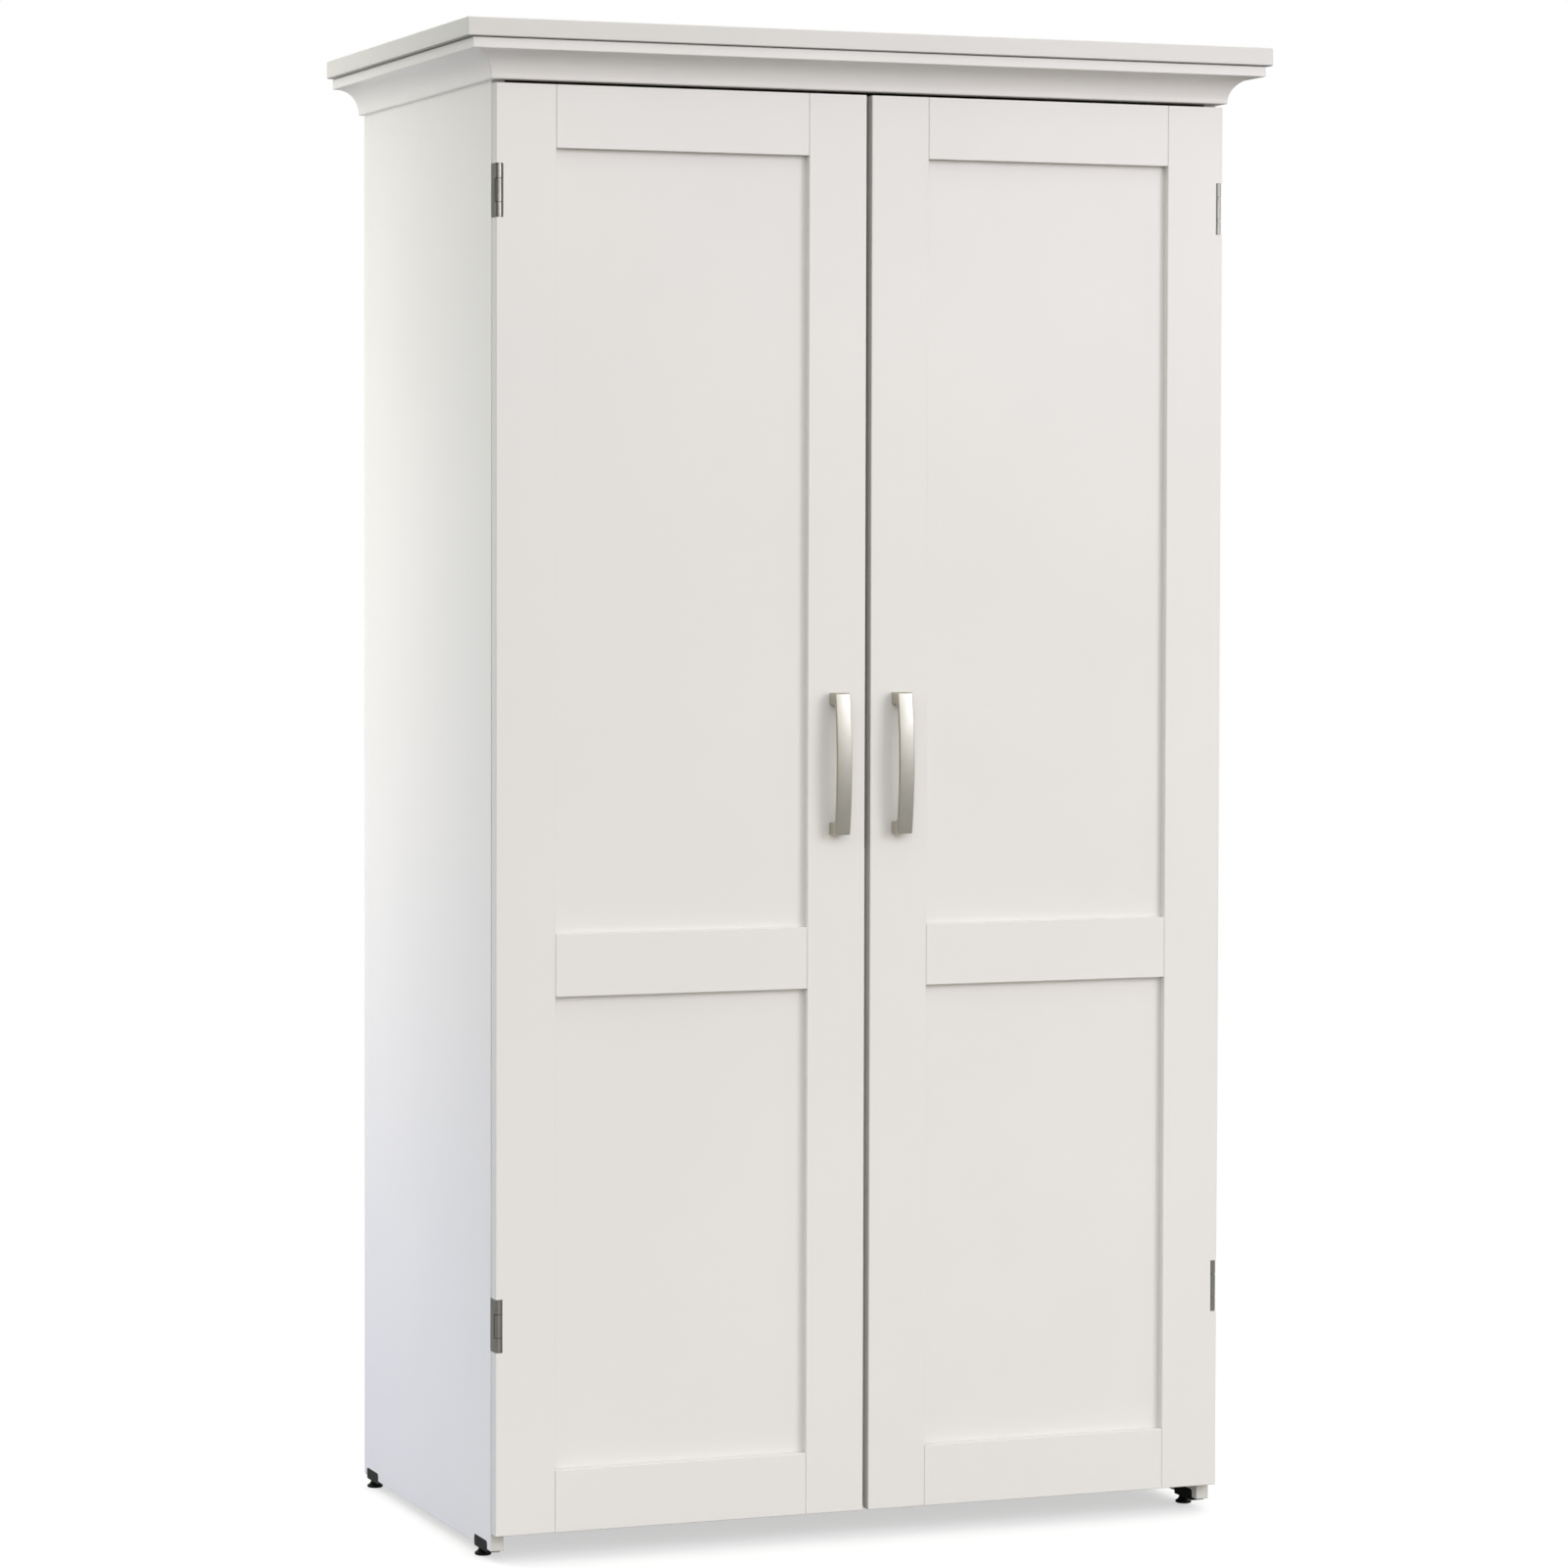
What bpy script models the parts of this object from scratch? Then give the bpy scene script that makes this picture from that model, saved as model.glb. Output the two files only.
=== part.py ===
"""Two-door pantry cabinet of laminate-faced board, for Blender 4.5.

Metres, +Z up. The origin is on the floor, under the middle of the cornice top.
+X is the right-hand side, seen from the front, and the doors face -Y.
"""

import math

import bmesh
import bpy
from mathutils import Matrix, Vector

# ---------------------------------------------------------------------------
# Overall size, over the cornice top, which overhangs everything else
# ---------------------------------------------------------------------------
CABINET_WIDTH = 1.015
CABINET_DEPTH = 0.546
CABINET_HEIGHT = 1.764

# ---------------------------------------------------------------------------
# Boards and general clearances
# ---------------------------------------------------------------------------
BOARD = 0.016                     # sides, shelves, partition and door frames
CORNICE_THICKNESS = 0.0216
TOP_RAIL_THICKNESS = 0.0125
BACK_THICKNESS = 0.003
BACK_SET_IN = 0.003               # back sheets in from the side panels' outer faces
BACK_SEAM = 0.001                 # between the two back sheets
NAIL_HEAD_ROOM = 0.0006           # back sheets in from the cornice's back edge
TOUCH = 0.0003                    # left between faces that touch
ARRIS = 0.0006                    # rounded edge of a laminated board
CORNICE_ARRIS = 0.0012
CUT_PAST = 0.0080                 # how far a cutter runs on past the face it cuts
SHARP_FROM = 35                   # degrees: edges sharper than this stay crisp

# ---------------------------------------------------------------------------
# Crown moulding, and how far the cornice stands out past it
# ---------------------------------------------------------------------------
CROWN_FOOT_HEIGHT = 0.0025        # below the cove
CROWN_FOOT_THICKNESS = 0.0057
CROWN_FOOT_ROUND = 0.0018
CROWN_COVE_RADIUS = 0.0284
CROWN_SOFFIT = 0.0050             # flat between the cove and the lip's face
CROWN_LIP_HEIGHT = 0.0125
CROWN_LIP_ARRIS = 0.0008
CROWN_COVE_STEPS = 12
CROWN_FOOT_STEPS = 3
CORNICE_PAST_CROWN_SIDE = 0.0079
CORNICE_PAST_CROWN_FRONT = 0.0045

# ---------------------------------------------------------------------------
# Carcass
# ---------------------------------------------------------------------------
SIDE_BOTTOM = 0.0136              # side panels' lower edge above the floor
BOTTOM_PANEL_RISE = 0.0020        # bottom panel's underside above the doors' lower edge
FIXED_SHELF_TOP = 0.8150
SHELF_SIDE_CLEARANCE = 0.0010
SHELF_BEHIND_HINGES = 0.0020      # shelves' front edges behind the hinge leaves
SHELF_BACK_CLEARANCE = 0.0010
UPPER_SHELVES = 2
PARTITION_HOUSING = 0.0030        # depth of the grooves that hold the partition's ends

# ---------------------------------------------------------------------------
# Shelf pins and the rows of holes that take them
# ---------------------------------------------------------------------------
PIN_RADIUS = 0.0024
PIN_CLEARANCE = 0.0003
PIN_DEPTH = 0.0080                # length in the side panel
PIN_HEAD_RADIUS = 0.0032
PIN_HEAD_LENGTH = 0.0090
PIN_HEAD_ROUND = 0.0010
PIN_HOLE_SPARE = 0.0010           # hole deeper than the pin
PIN_STEP = 0.0320                 # from hole to hole
PIN_ROW_INSET = 0.0500            # rows in from the shelf's front and back edges
PIN_SIDES = 12

# ---------------------------------------------------------------------------
# Doors
# ---------------------------------------------------------------------------
DOOR_BOTTOM = 0.0342
DOOR_TOP_GAP = 0.0040             # door to crown
DOOR_MIDDLE_GAP = 0.0070          # between the two doors
DOOR_BACK_GAP = 0.0023            # door's back to the side panels' front edges
FRAME_WIDTH = 0.0722              # stiles and rails
MIDDLE_RAIL_TOP = 0.7240
PANEL_RECESS = 0.0100             # panel's face behind the frame's face
PANEL_THICKNESS = 0.0032
GROOVE_DEPTH = 0.0070
PANEL_FLOAT = 0.0010              # panel's edge to the groove's floor
TONGUE_INSET = 0.0010             # rail's tongue shorter than the rail is high

# ---------------------------------------------------------------------------
# Hinges: a barrel let into the door's outer corner, with a leaf round each board
# ---------------------------------------------------------------------------
HINGE_HEIGHT = 0.0606
HINGE_BELOW_DOOR_TOP = 0.1217     # middle of the upper hinge
HINGE_ABOVE_DOOR_BOTTOM = 0.2418  # middle of the lower hinge
BARREL_RADIUS = 0.0038
BARREL_SET_IN = 0.0002            # barrel behind the door's face and its edge
HINGE_PIN_RADIUS = 0.0014
HINGE_PIN_CLEARANCE = 0.0004
END_KNUCKLE = 0.0164
KNUCKLE_GAP = 0.0008
LEAF_THICKNESS = 0.0012
LEAF_REACH = 0.0260               # length of the part of a leaf that is screwed on
LEAF_SET_IN = 0.0002              # leaf's faces and ends inside the barrel's
NOTCH_CLEARANCE = 0.0004
BARREL_SIDES = 24

# ---------------------------------------------------------------------------
# Handles: an arched strap that ends in two posts
# ---------------------------------------------------------------------------
HANDLE_CENTRE_HEIGHT = 0.9148
HANDLE_LENGTH = 0.1660
HANDLE_WIDTH = 0.0190
HANDLE_RISE = 0.0250              # strap's middle in front of the door
HANDLE_END_RISE = 0.0187
HANDLE_POST = 0.0142              # post's height on the door
HANDLE_STRAP = 0.0042             # strap's thickness
HANDLE_FILLET = 0.0070            # inside corner between post and strap
HANDLE_SHOULDER = 0.0025          # outside corner between post and strap
HANDLE_EDGE_ROUND = 0.0012
HANDLE_BEVEL_FROM = 60            # degrees: sharper edges are rounded
HANDLE_BEVEL_SEGMENTS = 2
HANDLE_ARC_STEPS = 18
HANDLE_CORNER_STEPS = 4

# ---------------------------------------------------------------------------
# Magnetic catch
# ---------------------------------------------------------------------------
CATCH_WIDTH = 0.0460
CATCH_DEPTH = 0.0200
CATCH_HEIGHT = 0.0135
CATCH_LET_IN = 0.0010             # catch sunk into the fixed shelf's top
STRIKE_THICKNESS = 0.0010
STRIKE_WIDTH = 0.0150
STRIKE_HEIGHT = 0.0220
STRIKE_INSET = 0.0025             # strike in from the door's meeting edge

# ---------------------------------------------------------------------------
# Levellers
# ---------------------------------------------------------------------------
HOUSING_LENGTH = 0.0470
HOUSING_IN_PANEL = 0.0100         # height of the notch that takes it
HOUSING_CORNER = 0.0040
HOUSING_CORNER_STEPS = 4
HOUSING_DROP = 0.0036             # housing below the side panel
HOUSING_FRONT_INSET = 0.0120      # behind the side panel's front edge
HOUSING_BACK_INSET = 0.0100       # in front of the side panel's back edge
SCREW_FROM_HOUSING_END = 0.0090   # screw's axis in front of the housing's rear end
SCREW_RADIUS = 0.0040
SCREW_CLEARANCE = 0.0004
SCREW_LENGTH = 0.0260
SCREW_SPARE = 0.0020              # hole in the panel deeper than the screw
FOOT_RADIUS = 0.0097
FOOT_EDGE = 0.0006
FOOT_DISC_HEIGHT = 0.0032
FOOT_FLARE_HEIGHT = 0.0045
FOOT_COLLAR_LEDGE = 0.0012        # collar past the screw: it stops the foot at its housing
FOOT_SIDES = 24

# ---------------------------------------------------------------------------
# Places that follow from the sizes above
# ---------------------------------------------------------------------------
CROWN_HEIGHT = CROWN_FOOT_HEIGHT + CROWN_COVE_RADIUS + CROWN_LIP_HEIGHT
CROWN_PROJECTION = CROWN_FOOT_THICKNESS + CROWN_COVE_RADIUS + CROWN_SOFFIT
HALF_DEPTH = CABINET_DEPTH / 2
SIDE_OUTER = CABINET_WIDTH / 2 - CORNICE_PAST_CROWN_SIDE - CROWN_PROJECTION - TOUCH
SIDE_INNER = SIDE_OUTER - BOARD
TOP_RAIL_FACE = -HALF_DEPTH + CORNICE_PAST_CROWN_FRONT + CROWN_PROJECTION + TOUCH
TOP_RAIL_BACK = TOP_RAIL_FACE + TOP_RAIL_THICKNESS
SIDE_FRONT = TOP_RAIL_BACK + TOUCH
BACK_FACE = HALF_DEPTH - NAIL_HEAD_ROOM
SIDE_BACK = BACK_FACE - BACK_THICKNESS - TOUCH
DOOR_BACK = SIDE_FRONT - DOOR_BACK_GAP
DOOR_FACE = DOOR_BACK - BOARD
CORNICE_BOTTOM = CABINET_HEIGHT - CORNICE_THICKNESS
SIDE_TOP = CORNICE_BOTTOM - TOUCH
CROWN_BOTTOM = SIDE_TOP - CROWN_HEIGHT
BOTTOM_PANEL_UNDERSIDE = DOOR_BOTTOM + BOTTOM_PANEL_RISE
BOTTOM_PANEL_TOP = BOTTOM_PANEL_UNDERSIDE + BOARD
FIXED_SHELF_UNDERSIDE = FIXED_SHELF_TOP - BOARD
PARTITION_FACE = BOARD / 2

DOOR_TOP = CROWN_BOTTOM - DOOR_TOP_GAP
DOOR_MEETING = DOOR_MIDDLE_GAP / 2
TOP_RAIL_EDGE = DOOR_TOP - FRAME_WIDTH
BOTTOM_RAIL_EDGE = DOOR_BOTTOM + FRAME_WIDTH
MIDDLE_RAIL_BOTTOM = MIDDLE_RAIL_TOP - FRAME_WIDTH
OUTER_STILE_EDGE = SIDE_OUTER - FRAME_WIDTH
INNER_STILE_EDGE = DOOR_MEETING + FRAME_WIDTH
PANEL_FACE = DOOR_FACE + PANEL_RECESS
PANEL_BACK = PANEL_FACE + PANEL_THICKNESS
PANEL_GRIP = GROOVE_DEPTH - PANEL_FLOAT

HINGE_INSET = BARREL_RADIUS + BARREL_SET_IN   # axis from the door's face and its edge
HINGE_X = SIDE_OUTER - HINGE_INSET
LEAF_FACE = BARREL_RADIUS - LEAF_SET_IN   # leaf's outer face from the hinge's axis
HINGE_Y = DOOR_FACE + HINGE_INSET
HINGE_HEIGHTS = {
    "top": DOOR_TOP - HINGE_BELOW_DOOR_TOP,
    "bottom": DOOR_BOTTOM + HINGE_ABOVE_DOOR_BOTTOM,
}

CATCH_FRONT = DOOR_BACK + TOUCH + STRIKE_THICKNESS + TOUCH
CATCH_BASE = FIXED_SHELF_TOP - CATCH_LET_IN + TOUCH

HOUSING_TOP = SIDE_BOTTOM + HOUSING_IN_PANEL
HOUSING_BOTTOM = SIDE_BOTTOM - HOUSING_DROP
HOUSING_STARTS = {
    "front": SIDE_FRONT + HOUSING_FRONT_INSET,
    "back": SIDE_BACK - HOUSING_BACK_INSET - HOUSING_LENGTH,
}

SIDES = {"left": -1, "right": 1}

# ---------------------------------------------------------------------------
# Finishes: colour, roughness, metallic
# ---------------------------------------------------------------------------
LAMINATE = ("laminate", (0.80, 0.77, 0.72), 0.45, 0.0)
INNER_LAMINATE = ("inner_laminate", (0.76, 0.75, 0.72), 0.50, 0.0)
HARDBOARD = ("hardboard", (0.62, 0.59, 0.54), 0.70, 0.0)
SATIN_NICKEL = ("satin_nickel", (0.55, 0.52, 0.48), 0.32, 1.0)
HINGE_NICKEL = ("hinge_nickel", (0.42, 0.40, 0.37), 0.38, 1.0)
BLACK_PLASTIC = ("black_plastic", (0.02, 0.02, 0.02), 0.45, 0.0)
BROWN_PLASTIC = ("brown_plastic", (0.09, 0.06, 0.04), 0.50, 0.0)
ZINC = ("zinc_plate", (0.60, 0.61, 0.62), 0.35, 1.0)


# ---------------------------------------------------------------------------
# Pieces, and the guides that cut them or join them
# ---------------------------------------------------------------------------
def clear_scene():
    for thing in list(bpy.data.objects):
        bpy.data.objects.remove(thing, do_unlink=True)


def material_for(piece_name, finish):
    """A material of the piece's own."""
    label, colour, roughness, metallic = finish
    material = bpy.data.materials.new(f"{piece_name}_{label}")
    material.use_nodes = True
    shader = material.node_tree.nodes["Principled BSDF"]
    shader.inputs["Base Color"].default_value = (*colour, 1.0)
    shader.inputs["Roughness"].default_value = roughness
    shader.inputs["Metallic"].default_value = metallic
    return material


def place(name, shape, origin, parent=None):
    """Turn a bmesh into an object whose origin is at a point in the cabinet's frame."""
    bmesh.ops.recalc_face_normals(shape, faces=shape.faces)
    mesh = bpy.data.meshes.new(name)
    shape.to_mesh(mesh)
    shape.free()
    thing = bpy.data.objects.new(name, mesh)
    bpy.context.scene.collection.objects.link(thing)
    thing.parent = parent
    thing.location = Vector(origin) - (parent.location if parent else Vector())
    return thing


def make_piece(name, shape, origin, finish, parent=None):
    piece = place(name, shape, origin, parent)
    piece.data.materials.append(material_for(name, finish))
    return piece


def apply_guide(piece, operation, label, shape, origin):
    """Cut or join a piece with a guide, which is drawn as wire and never rendered."""
    guide = place(f"{operation.lower()}_{piece.name}_{label}", shape, origin, piece.parent)
    guide.hide_render = True
    guide.display_type = "WIRE"
    step = piece.modifiers.new(guide.name, "BOOLEAN")
    step.operation = operation
    step.solver = "EXACT"
    step.object = guide


def axis_empty(name, point):
    empty = bpy.data.objects.new(name, None)
    bpy.context.scene.collection.objects.link(empty)
    empty.location = Vector(point)
    return empty


def round_off(piece):
    """Shade the round faces smooth and keep the corners crisp."""
    piece.data.shade_smooth()
    piece.data.set_sharp_from_angle(angle=math.radians(SHARP_FROM))


# ---------------------------------------------------------------------------
# Shapes
# ---------------------------------------------------------------------------
def box_shape(low, high, arris=0.0):
    """A box centred on its own origin, its edges taken off by an arris."""
    shape = bmesh.new()
    bmesh.ops.create_cube(shape, size=1.0)
    bmesh.ops.scale(shape, vec=Vector(high) - Vector(low), verts=shape.verts)
    if arris:
        bmesh.ops.bevel(shape, geom=shape.edges[:], offset=arris, segments=1, affect="EDGES")
    return shape


def middle(low, high):
    return (Vector(low) + Vector(high)) / 2


def board(name, low, high, finish, parent=None, arris=ARRIS):
    """A rectangular piece between two corners in the cabinet's frame."""
    return make_piece(name, box_shape(low, high, arris), middle(low, high), finish, parent)


def cut_box(piece, label, low, high):
    apply_guide(piece, "DIFFERENCE", label, box_shape(low, high), middle(low, high))


def join_box(piece, label, low, high):
    apply_guide(piece, "UNION", label, box_shape(low, high), middle(low, high))


def mirrored_span(side, inner, outer):
    """The two X values of a span on one side of the cabinet, lower first."""
    return sorted((side * inner, side * outer))


def prism(outline, start, end, to_point):
    """Extrude a closed outline between two values; to_point maps (a, b, value) to X, Y, Z."""
    shape = bmesh.new()
    caps = []
    for value in (start, end):
        caps.append([shape.verts.new(to_point(a, b, value)) for a, b in outline])
    shape.faces.new(caps[0])
    shape.faces.new(list(reversed(caps[1])))
    count = len(outline)
    for index in range(count):
        after = (index + 1) % count
        shape.faces.new((caps[0][index], caps[1][index], caps[1][after], caps[0][after]))
    return shape


def arc(centre, radius, start, end, steps):
    """Points on a circle from one angle to another, in degrees."""
    points = []
    for step in range(steps + 1):
        angle = math.radians(start + (end - start) * step / steps)
        points.append((centre[0] + radius * math.cos(angle), centre[1] + radius * math.sin(angle)))
    return points


def turned(profile, sides):
    """A solid turned about Z, from (radius, height) points listed from the bottom up."""
    shape = bmesh.new()
    rings = []
    for radius, height in profile:
        ring = [
            shape.verts.new((radius * math.cos(angle), radius * math.sin(angle), height))
            for angle in (2 * math.pi * step / sides for step in range(sides))
        ]
        rings.append(ring)
    for lower, upper in zip(rings, rings[1:]):
        for step in range(sides):
            after = (step + 1) % sides
            shape.faces.new((lower[step], lower[after], upper[after], upper[step]))
    shape.faces.new(rings[0])
    shape.faces.new(rings[-1])
    return shape


def rod(radius, low, high, sides):
    """A plain cylinder about Z between two heights."""
    return turned([(radius, low), (radius, high)], sides)


def laid_along_x(shape, side):
    """Turn a shape about Z so that its +Z end points outward on one side of the cabinet."""
    turn = Matrix.Rotation(math.radians(90 * side), 3, "Y")
    bmesh.ops.rotate(shape, cent=(0, 0, 0), matrix=turn, verts=shape.verts)
    return shape


# ---------------------------------------------------------------------------
# Shelf heights and pin places, which the shelves, pins and holes share
# ---------------------------------------------------------------------------
UPPER_OPENING = (
    CORNICE_BOTTOM - FIXED_SHELF_TOP - UPPER_SHELVES * BOARD
) / (UPPER_SHELVES + 1)
UPPER_SHELF_UNDERSIDES = [
    FIXED_SHELF_TOP + UPPER_OPENING * count + BOARD * (count - 1)
    for count in range(1, UPPER_SHELVES + 1)
]
LOWER_SHELF_UNDERSIDE = (BOTTOM_PANEL_TOP + FIXED_SHELF_UNDERSIDE - BOARD) / 2
SHELF_FRONT = SIDE_FRONT + LEAF_REACH + SHELF_BEHIND_HINGES
SHELF_BACK = SIDE_BACK - SHELF_BACK_CLEARANCE
PIN_ROWS = {"front": SHELF_FRONT + PIN_ROW_INSET, "back": SHELF_BACK - PIN_ROW_INSET}


def pin_height(shelf_underside):
    return shelf_underside - TOUCH - PIN_HEAD_RADIUS


# ---------------------------------------------------------------------------
# Carcass
# ---------------------------------------------------------------------------
def side_panel(label, side):
    inner, outer = mirrored_span(side, SIDE_INNER, SIDE_OUTER)
    panel = board(
        f"side_panel_{label}", (inner, SIDE_FRONT, SIDE_BOTTOM), (outer, SIDE_BACK, SIDE_TOP), LAMINATE
    )
    cut_leveller_notches(panel, side)
    cut_hinge_rebates(panel, side)
    cut_pin_holes(panel, side)
    return panel


def cut_leveller_notches(panel, side):
    inner, outer = mirrored_span(side, SIDE_INNER - CUT_PAST, SIDE_OUTER + CUT_PAST)
    for label, start in HOUSING_STARTS.items():
        outline = housing_outline(start, start + HOUSING_LENGTH, SIDE_BOTTOM - HOUSING_IN_PANEL, HOUSING_TOP)
        notch = prism(outline, inner, outer, lambda y, z, x: (x, y, z))
        apply_guide(panel, "DIFFERENCE", f"notch_{label}", notch, (0, 0, 0))
        hole_top = screw_top() + SCREW_SPARE
        hole = rod(SCREW_RADIUS + SCREW_CLEARANCE, SIDE_BOTTOM, hole_top, FOOT_SIDES)
        apply_guide(panel, "DIFFERENCE", f"screw_{label}", hole, (*screw_axis(side, start), 0))


def cut_hinge_rebates(panel, side):
    """Shallow rebates that let the hinge leaves lie flush in the panel's front edge."""
    inner, outer = mirrored_span(side, SIDE_INNER - CUT_PAST, SIDE_OUTER + CUT_PAST)
    half = HINGE_HEIGHT / 2 + NOTCH_CLEARANCE
    for label, height in HINGE_HEIGHTS.items():
        low = (inner, SIDE_FRONT - CUT_PAST, height - half)
        high = (outer, SIDE_FRONT + LEAF_THICKNESS + TOUCH, height + half)
        cut_box(panel, f"rebate_{label}", low, high)


def cut_pin_holes(panel, side):
    depth = PIN_DEPTH + PIN_HOLE_SPARE
    for shelf, underside in enumerate(UPPER_SHELF_UNDERSIDES, start=1):
        for row, y in PIN_ROWS.items():
            for step in (-1, 0, 1):
                hole = laid_along_x(rod(PIN_RADIUS + PIN_CLEARANCE, -CUT_PAST, depth, PIN_SIDES), side)
                height = pin_height(underside) + step * PIN_STEP
                label = f"pin_{shelf}_{row}_{step + 1}"
                apply_guide(panel, "DIFFERENCE", label, hole, (side * SIDE_INNER, y, height))


def carcass_boards():
    bottom_panel = board(
        "bottom_panel",
        (-SIDE_INNER + TOUCH, SIDE_FRONT, BOTTOM_PANEL_UNDERSIDE),
        (SIDE_INNER - TOUCH, SIDE_BACK, BOTTOM_PANEL_TOP),
        INNER_LAMINATE,
    )
    fixed_shelf = board(
        "fixed_shelf",
        (-SIDE_INNER + TOUCH, SIDE_FRONT, FIXED_SHELF_UNDERSIDE),
        (SIDE_INNER - TOUCH, SIDE_BACK, FIXED_SHELF_TOP),
        INNER_LAMINATE,
    )
    partition_low = BOTTOM_PANEL_TOP - PARTITION_HOUSING
    partition_high = FIXED_SHELF_UNDERSIDE + PARTITION_HOUSING
    board(
        "centre_partition",
        (-PARTITION_FACE, SIDE_FRONT, partition_low + TOUCH),
        (PARTITION_FACE, SIDE_BACK, partition_high - TOUCH),
        INNER_LAMINATE,
    )
    cut_partition_groove(bottom_panel, partition_low, BOTTOM_PANEL_TOP + CUT_PAST)
    cut_partition_groove(fixed_shelf, FIXED_SHELF_UNDERSIDE - CUT_PAST, partition_high)
    cut_box(
        fixed_shelf, "catch",
        (-CATCH_WIDTH / 2 - TOUCH, SIDE_FRONT - CUT_PAST, FIXED_SHELF_TOP - CATCH_LET_IN),
        (CATCH_WIDTH / 2 + TOUCH, CATCH_FRONT + CATCH_DEPTH + TOUCH, FIXED_SHELF_TOP + CUT_PAST),
    )
    board(
        "top_rail",
        (-SIDE_OUTER, TOP_RAIL_FACE, CROWN_BOTTOM),
        (SIDE_OUTER, TOP_RAIL_BACK, SIDE_TOP),
        LAMINATE,
    )
    board(
        "cornice_top",
        (-CABINET_WIDTH / 2, -HALF_DEPTH, CORNICE_BOTTOM),
        (CABINET_WIDTH / 2, HALF_DEPTH, CABINET_HEIGHT),
        LAMINATE,
        arris=CORNICE_ARRIS,
    )


def cut_partition_groove(piece, low, high):
    half = PARTITION_FACE + TOUCH
    cut_box(
        piece, "partition",
        (-half, SIDE_FRONT - CUT_PAST, low),
        (half, SIDE_BACK + CUT_PAST, high),
    )


def back_sheets():
    """Two sheets nailed on from behind, which meet on the fixed shelf's back edge."""
    seam = (FIXED_SHELF_UNDERSIDE + FIXED_SHELF_TOP) / 2
    spans = {
        "lower": (BOTTOM_PANEL_UNDERSIDE, seam - BACK_SEAM / 2),
        "upper": (seam + BACK_SEAM / 2, SIDE_TOP),
    }
    half = SIDE_OUTER - BACK_SET_IN
    for label, (low, high) in spans.items():
        sheet_front = BACK_FACE - BACK_THICKNESS
        board(f"back_panel_{label}", (-half, sheet_front, low), (half, BACK_FACE, high), HARDBOARD, arris=0)


def crown_outline():
    """(projection, height) of the moulding: foot, cove and lip, from the face it is fixed to."""
    lip_bottom = CROWN_HEIGHT - CROWN_LIP_HEIGHT
    cove_centre = (CROWN_FOOT_THICKNESS + CROWN_COVE_RADIUS, lip_bottom - CROWN_COVE_RADIUS)
    foot_centre = (CROWN_FOOT_THICKNESS - CROWN_FOOT_ROUND, CROWN_FOOT_ROUND)
    outline = [(0, 0)]
    outline += arc(foot_centre, CROWN_FOOT_ROUND, -90, 0, CROWN_FOOT_STEPS)
    outline += arc(cove_centre, CROWN_COVE_RADIUS, 180, 90, CROWN_COVE_STEPS)
    outline += [
        (CROWN_PROJECTION - CROWN_LIP_ARRIS, lip_bottom),
        (CROWN_PROJECTION, lip_bottom + CROWN_LIP_ARRIS),
        (CROWN_PROJECTION, CROWN_HEIGHT - CROWN_LIP_ARRIS),
        (CROWN_PROJECTION - CROWN_LIP_ARRIS, CROWN_HEIGHT),
        (0, CROWN_HEIGHT),
    ]
    return outline


def crown_moulding():
    """Three lengths, mitred at 45 degrees where they meet at the front corners."""
    outline = crown_outline()
    corner_x = SIDE_OUTER + TOUCH
    corner_y = TOP_RAIL_FACE - TOUCH
    ease = TOUCH * math.sqrt(0.5)   # half the mitre's gap, measured along each length

    def front(projection, height, end):
        return (end * (corner_x + projection - ease), corner_y - projection, CROWN_BOTTOM + height)

    def at_side(side):
        def point(projection, height, end):
            front_end = corner_y - projection + ease
            y = front_end if end < 0 else HALF_DEPTH
            return (side * (corner_x + projection), y, CROWN_BOTTOM + height)
        return point

    lengths = {"front": front, "left": at_side(-1), "right": at_side(1)}
    for label, to_point in lengths.items():
        length = make_piece(f"crown_{label}", prism(outline, -1, 1, to_point), (0, 0, 0), LAMINATE)
        round_off(length)


# ---------------------------------------------------------------------------
# Shelves and their pins
# ---------------------------------------------------------------------------
def upper_shelves():
    half = SIDE_INNER - SHELF_SIDE_CLEARANCE
    for number, underside in enumerate(UPPER_SHELF_UNDERSIDES, start=1):
        board(
            f"upper_shelf_{number}",
            (-half, SHELF_FRONT, underside),
            (half, SHELF_BACK, underside + BOARD),
            INNER_LAMINATE,
        )
        for label, side in SIDES.items():
            for row, y in PIN_ROWS.items():
                shelf_pin(f"shelf_pin_{number}_{label}_{row}", side, y, pin_height(underside))


def shelf_pin(name, side, y, height):
    """A peg in the side panel with a thicker head, on which the shelf lies."""
    head_end = -TOUCH - PIN_HEAD_LENGTH
    profile = [
        (PIN_HEAD_RADIUS - PIN_HEAD_ROUND, head_end),
        (PIN_HEAD_RADIUS, head_end + PIN_HEAD_ROUND),
        (PIN_HEAD_RADIUS, -TOUCH),
        (PIN_RADIUS, -TOUCH),
        (PIN_RADIUS, PIN_DEPTH),
    ]
    shape = laid_along_x(turned(profile, PIN_SIDES), side)
    round_off(make_piece(name, shape, (side * SIDE_INNER, y, height), ZINC))


def lower_shelves():
    for label, side in SIDES.items():
        inner, outer = mirrored_span(side, PARTITION_FACE + TOUCH, SIDE_INNER - TOUCH)
        board(
            f"lower_shelf_{label}",
            (inner, SHELF_FRONT, LOWER_SHELF_UNDERSIDE),
            (outer, SHELF_BACK, LOWER_SHELF_UNDERSIDE + BOARD),
            INNER_LAMINATE,
        )


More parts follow.
